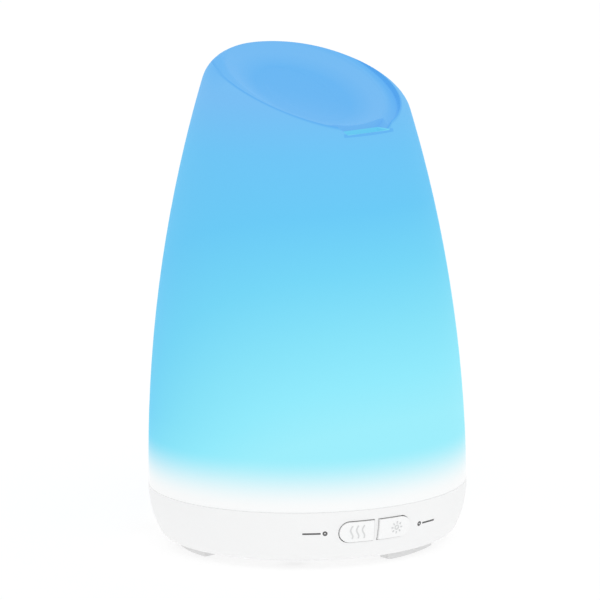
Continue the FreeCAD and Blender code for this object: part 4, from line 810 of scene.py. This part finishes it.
class HUMIDIFIER_OT_works(bpy.types.Operator):
    """Finish the fan, the boards and the parts on them, and make the lamps, winding and chip legs"""

    bl_idname = "humidifier.works"
    bl_label = "Fan and boards"

    def execute(self, context):
        settings = context.scene.humidifier_inside
        black = black_nylon()
        dress(black, "fan_housing", "fan_rotor", "tact_switches")
        dress(self.epoxy(), "transistor", "control_chip")
        dress(self.board("Green solder mask", "#15562f", "#175a32", "#1f6b3d"), "main_board", "switch_board")
        dress(self.board("White solder mask", "#ebede9", "#eceeea", "#e3e5e0"), "led_board")
        dress(self.sleeve(), "capacitor")
        dress(self.aluminium(), "heat_sink")
        dress(self.connector_nylon(), "board_connectors")
        self.make_winding(settings)
        self.make_lamps()
        self.make_legs(settings)
        return {"FINISHED"}

    def epoxy(self):
        """Moulded epoxy: black and matt from the mould's blasting."""
        return finish("Black moulded epoxy", ("#18181a", "#202022"), 0.62, 0.15, 0.01, 2, IOR=1.56)

    def board(self, name, dark, light, trace):
        """Glass epoxy board under solder mask: copper traces show through as a slightly other shade."""
        item, tree, shader = material(name, IOR=1.55, Roughness=0.35)
        where = add(tree, "ShaderNodeTexCoord", out="Object")
        # Traces are about 0.3 mm wide and run 1.6 mm apart, with a link across every 14 mm.
        traces = add(tree, "ShaderNodeTexBrick", {"Vector": where, "Scale": 1 / MM, "Color1": linear(dark),
                                                  "Color2": linear(light), "Mortar": linear(trace),
                                                  "Mortar Size": 0.15, "Mortar Smooth": 0.3,
                                                  "Brick Width": 14.0, "Row Height": 1.6}, offset=0.37)
        weave = add(tree, "ShaderNodeBump", {"Height": grains(tree, 0.6), "Distance": 0.01 * MM,
                                             "Strength": 0.5})
        feed(tree, shader, Base_Color=traces, Normal=weave)
        return item

    def sleeve(self):
        """Shrunk polyester sleeve: deep blue and glossy, with a pale stripe, and a bare aluminium top."""
        low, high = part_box("capacitor")
        item, tree, shader = material("Blue polyester sleeve", Roughness=0.25, IOR=1.57)
        place = add(tree, "ShaderNodeSeparateXYZ", {"Vector": add(tree, "ShaderNodeTexCoord", out="Object")},
                    out="all")
        stripe = add(tree, "ShaderNodeMath", {0: place["X"], 1: low.x + 0.9 * MM}, operation="LESS_THAN")
        body = add(tree, "ShaderNodeMix", {0: stripe, 6: linear("#182448"), 7: linear("#c8ccd4")},
                   data_type="RGBA")
        top = add(tree, "ShaderNodeMath", {0: place["Z"], 1: high.z - 0.05 * MM}, operation="GREATER_THAN")
        colour = add(tree, "ShaderNodeMix", {0: top, 6: body, 7: linear("#c4c6c8")}, data_type="RGBA")
        creases = add(tree, "ShaderNodeBump", {"Height": grains(tree, 0.7), "Distance": 0.01 * MM,
                                               "Strength": 0.5})
        feed(tree, shader, Base_Color=colour, Metallic=top, Normal=creases)
        return item

    def aluminium(self):
        """Extruded aluminium: bright, with lines along the extrusion, which stands upright."""
        return finish("Extruded aluminium", ("#c3c5c7", "#d2d4d6"), 0.36, 0.3, 0.01, 3, (1, 1, 0.06),
                      Metallic=1.0)

    def connector_nylon(self):
        """Unfilled nylon: ivory and slightly glossy."""
        return finish("Natural nylon", ("#e2dcc6", "#ece7d5"), 0.42, 0.6, 0.01, 3, IOR=1.53)

    def make_winding(self, settings):
        """Copper turns on a ferrite ring."""
        low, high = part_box("inductor")
        middle = (low + high) / 2
        tube = (high.z - low.z) / 2
        ring = (high.x - low.x) / 2 - tube
        copper = finish("Enamelled copper wire", ("#a4562a", "#b8683a"), 0.3, 0.5, 0.01, 2, Metallic=0.9,
                        Coat_Weight=0.6)
        ferrite = finish("Sintered ferrite", ("#2c2d2f", "#37383a"), 0.7, 0.3, 0.03, 2, IOR=1.6)
        core_tube = tube - 2.1 * settings.wire_radius
        steps, sides = 48, 16
        shape = bmesh.new()
        rows = [[shape.verts.new(middle + around(ring + core_tube * math.cos(math.tau * j / sides),
                                                 360 * i / steps, core_tube * math.sin(math.tau * j / sides)))
                 for j in range(sides)] for i in range(steps)]
        for i in range(steps):
            for j in range(sides):
                after, over = rows[(i + 1) % steps], (j + 1) % sides
                shape.faces.new((rows[i][j], after[j], after[over], rows[i][over]))
        core = from_bmesh("inductor_core", shape, ferrite)
        values = {"Ring radius": ring, "Turn radius": tube - settings.wire_radius * 1.02,
                  "Wire radius": settings.wire_radius, "Turns": settings.turns, "Finish": copper}
        wire = grow("inductor_winding", bpy.data.meshes.new("winding_seed"), winding_tree(), values, copper)
        wire.data.transform(Matrix.Translation(middle))
        for piece in (core, wire):
            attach(piece, "base")
        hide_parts("inductor")

    def make_lamps(self):
        """White lamp bodies with a round lens of yellow resin, one on each place of the ring board."""
        body_item = finish("White lamp housing", ("#ecece8", "#f5f5f2"), 0.4, 0.4, 0.005, 2, IOR=1.53)
        lens_item = finish("Lamp resin", ("#e9dd92", "#f2e9ae"), 0.12, 0.5, 0.004, 1.5, IOR=1.5,
                           Transmission_Weight=0.3)
        places = []
        for low, high in solids_of("leds"):
            middle = (low + high) / 2
            places.append((Vector((middle.x, middle.y, low.z)), (0, 0, math.atan2(middle.y, middle.x))))
        side, tall, lens = 5 * MM, 1.2 * MM, 1.9 * MM
        body = bmesh.new()
        cuboid(body, (-side / 2, -side / 2, 0), (side / 2, side / 2, tall))
        part = rounded(from_bmesh("lamp_body_part", body, body_item, smooth=False), 0.2)
        housings = copies("lamp_housings", places, new_object("lamp_body_done", plain_mesh(part), body_item),
                          body_item)
        dome = [(0, tall * 0.6), (lens, tall * 0.6), (lens, tall), (lens * 0.85, tall * 1.1),
                (lens * 0.5, tall * 1.16), (0, tall * 1.166)]
        lenses = copies("lamp_lenses", places, from_bmesh("lamp_lens_part", lathe(dome, 24), lens_item), lens_item)
        for piece in (housings, lenses):
            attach(piece, "base")
        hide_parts("leds")

    def make_legs(self, settings):
        """Tinned legs down both sides of the control chip."""
        low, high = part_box("control_chip")
        middle = (low + high) / 2
        turn = math.radians(BOARD_AZIMUTH)
        half, floor = CHIP_SIDE / 2, low.z
        tin = finish("Tinned copper leg", ("#c4c6c8", "#d4d6d8"), 0.3, 0.3, 0.004, 1, Metallic=1.0)
        leg = bmesh.new()
        cuboid(leg, (-0.02 * MM, -0.18 * MM, 0.6 * MM), (0.6 * MM, 0.18 * MM, 0.75 * MM))
        cuboid(leg, (0.45 * MM, -0.18 * MM, 0.0), (0.6 * MM, 0.18 * MM, 0.7 * MM))
        cuboid(leg, (0.5 * MM, -0.18 * MM, 0.0), (1.1 * MM, 0.18 * MM, 0.15 * MM))
        part = from_bmesh("chip_leg_part", leg, tin, smooth=False)
        places = []
        for side in (0, math.pi):
            facing = Matrix.Rotation(turn + side, 3, "Z")
            for index in range(settings.leg_count):
                along = CHIP_SIDE * 0.8 * (index / (settings.leg_count - 1) - 0.5)
                spot = facing @ Vector((half, along, 0))
                places.append((Vector((middle.x + spot.x, middle.y + spot.y, floor)), (0, 0, turn + side)))
        piece = copies("chip_legs", places, part, tin)
        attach(piece, "base")


OPERATORS = (HUMIDIFIER_OT_stage, HUMIDIFIER_OT_cover, HUMIDIFIER_OT_case, HUMIDIFIER_OT_buttons,
             HUMIDIFIER_OT_tank, HUMIDIFIER_OT_fasteners, HUMIDIFIER_OT_works)


class HUMIDIFIER_PT_panel(bpy.types.Panel):
    """Buttons that rebuild each part of the humidifier's look"""

    bl_idname = "HUMIDIFIER_PT_panel"
    bl_label = "Cool mist humidifier"
    bl_space_type = "VIEW_3D"
    bl_region_type = "UI"
    bl_category = "Humidifier"

    def draw(self, context):
        for operator in OPERATORS:
            self.layout.operator(operator.bl_idname)


SETTINGS = {"humidifier_glow": GlowSettings, "humidifier_case": CaseSettings,
            "humidifier_inside": InsideSettings, "humidifier_stage": StageSettings}


def register():
    for name, group in SETTINGS.items():
        bpy.utils.register_class(group)
        setattr(bpy.types.Scene, name, PointerProperty(type=group))
    for operator in OPERATORS:
        bpy.utils.register_class(operator)
    bpy.utils.register_class(HUMIDIFIER_PT_panel)


def unregister():
    bpy.utils.unregister_class(HUMIDIFIER_PT_panel)
    for operator in reversed(OPERATORS):
        bpy.utils.unregister_class(operator)
    for name, group in SETTINGS.items():
        delattr(bpy.types.Scene, name)
        bpy.utils.unregister_class(group)


def main():
    register()
    for operator in OPERATORS:
        category, name = operator.bl_idname.split(".")
        getattr(getattr(bpy.ops, category), name)()


if __name__ == "__main__":
    main()
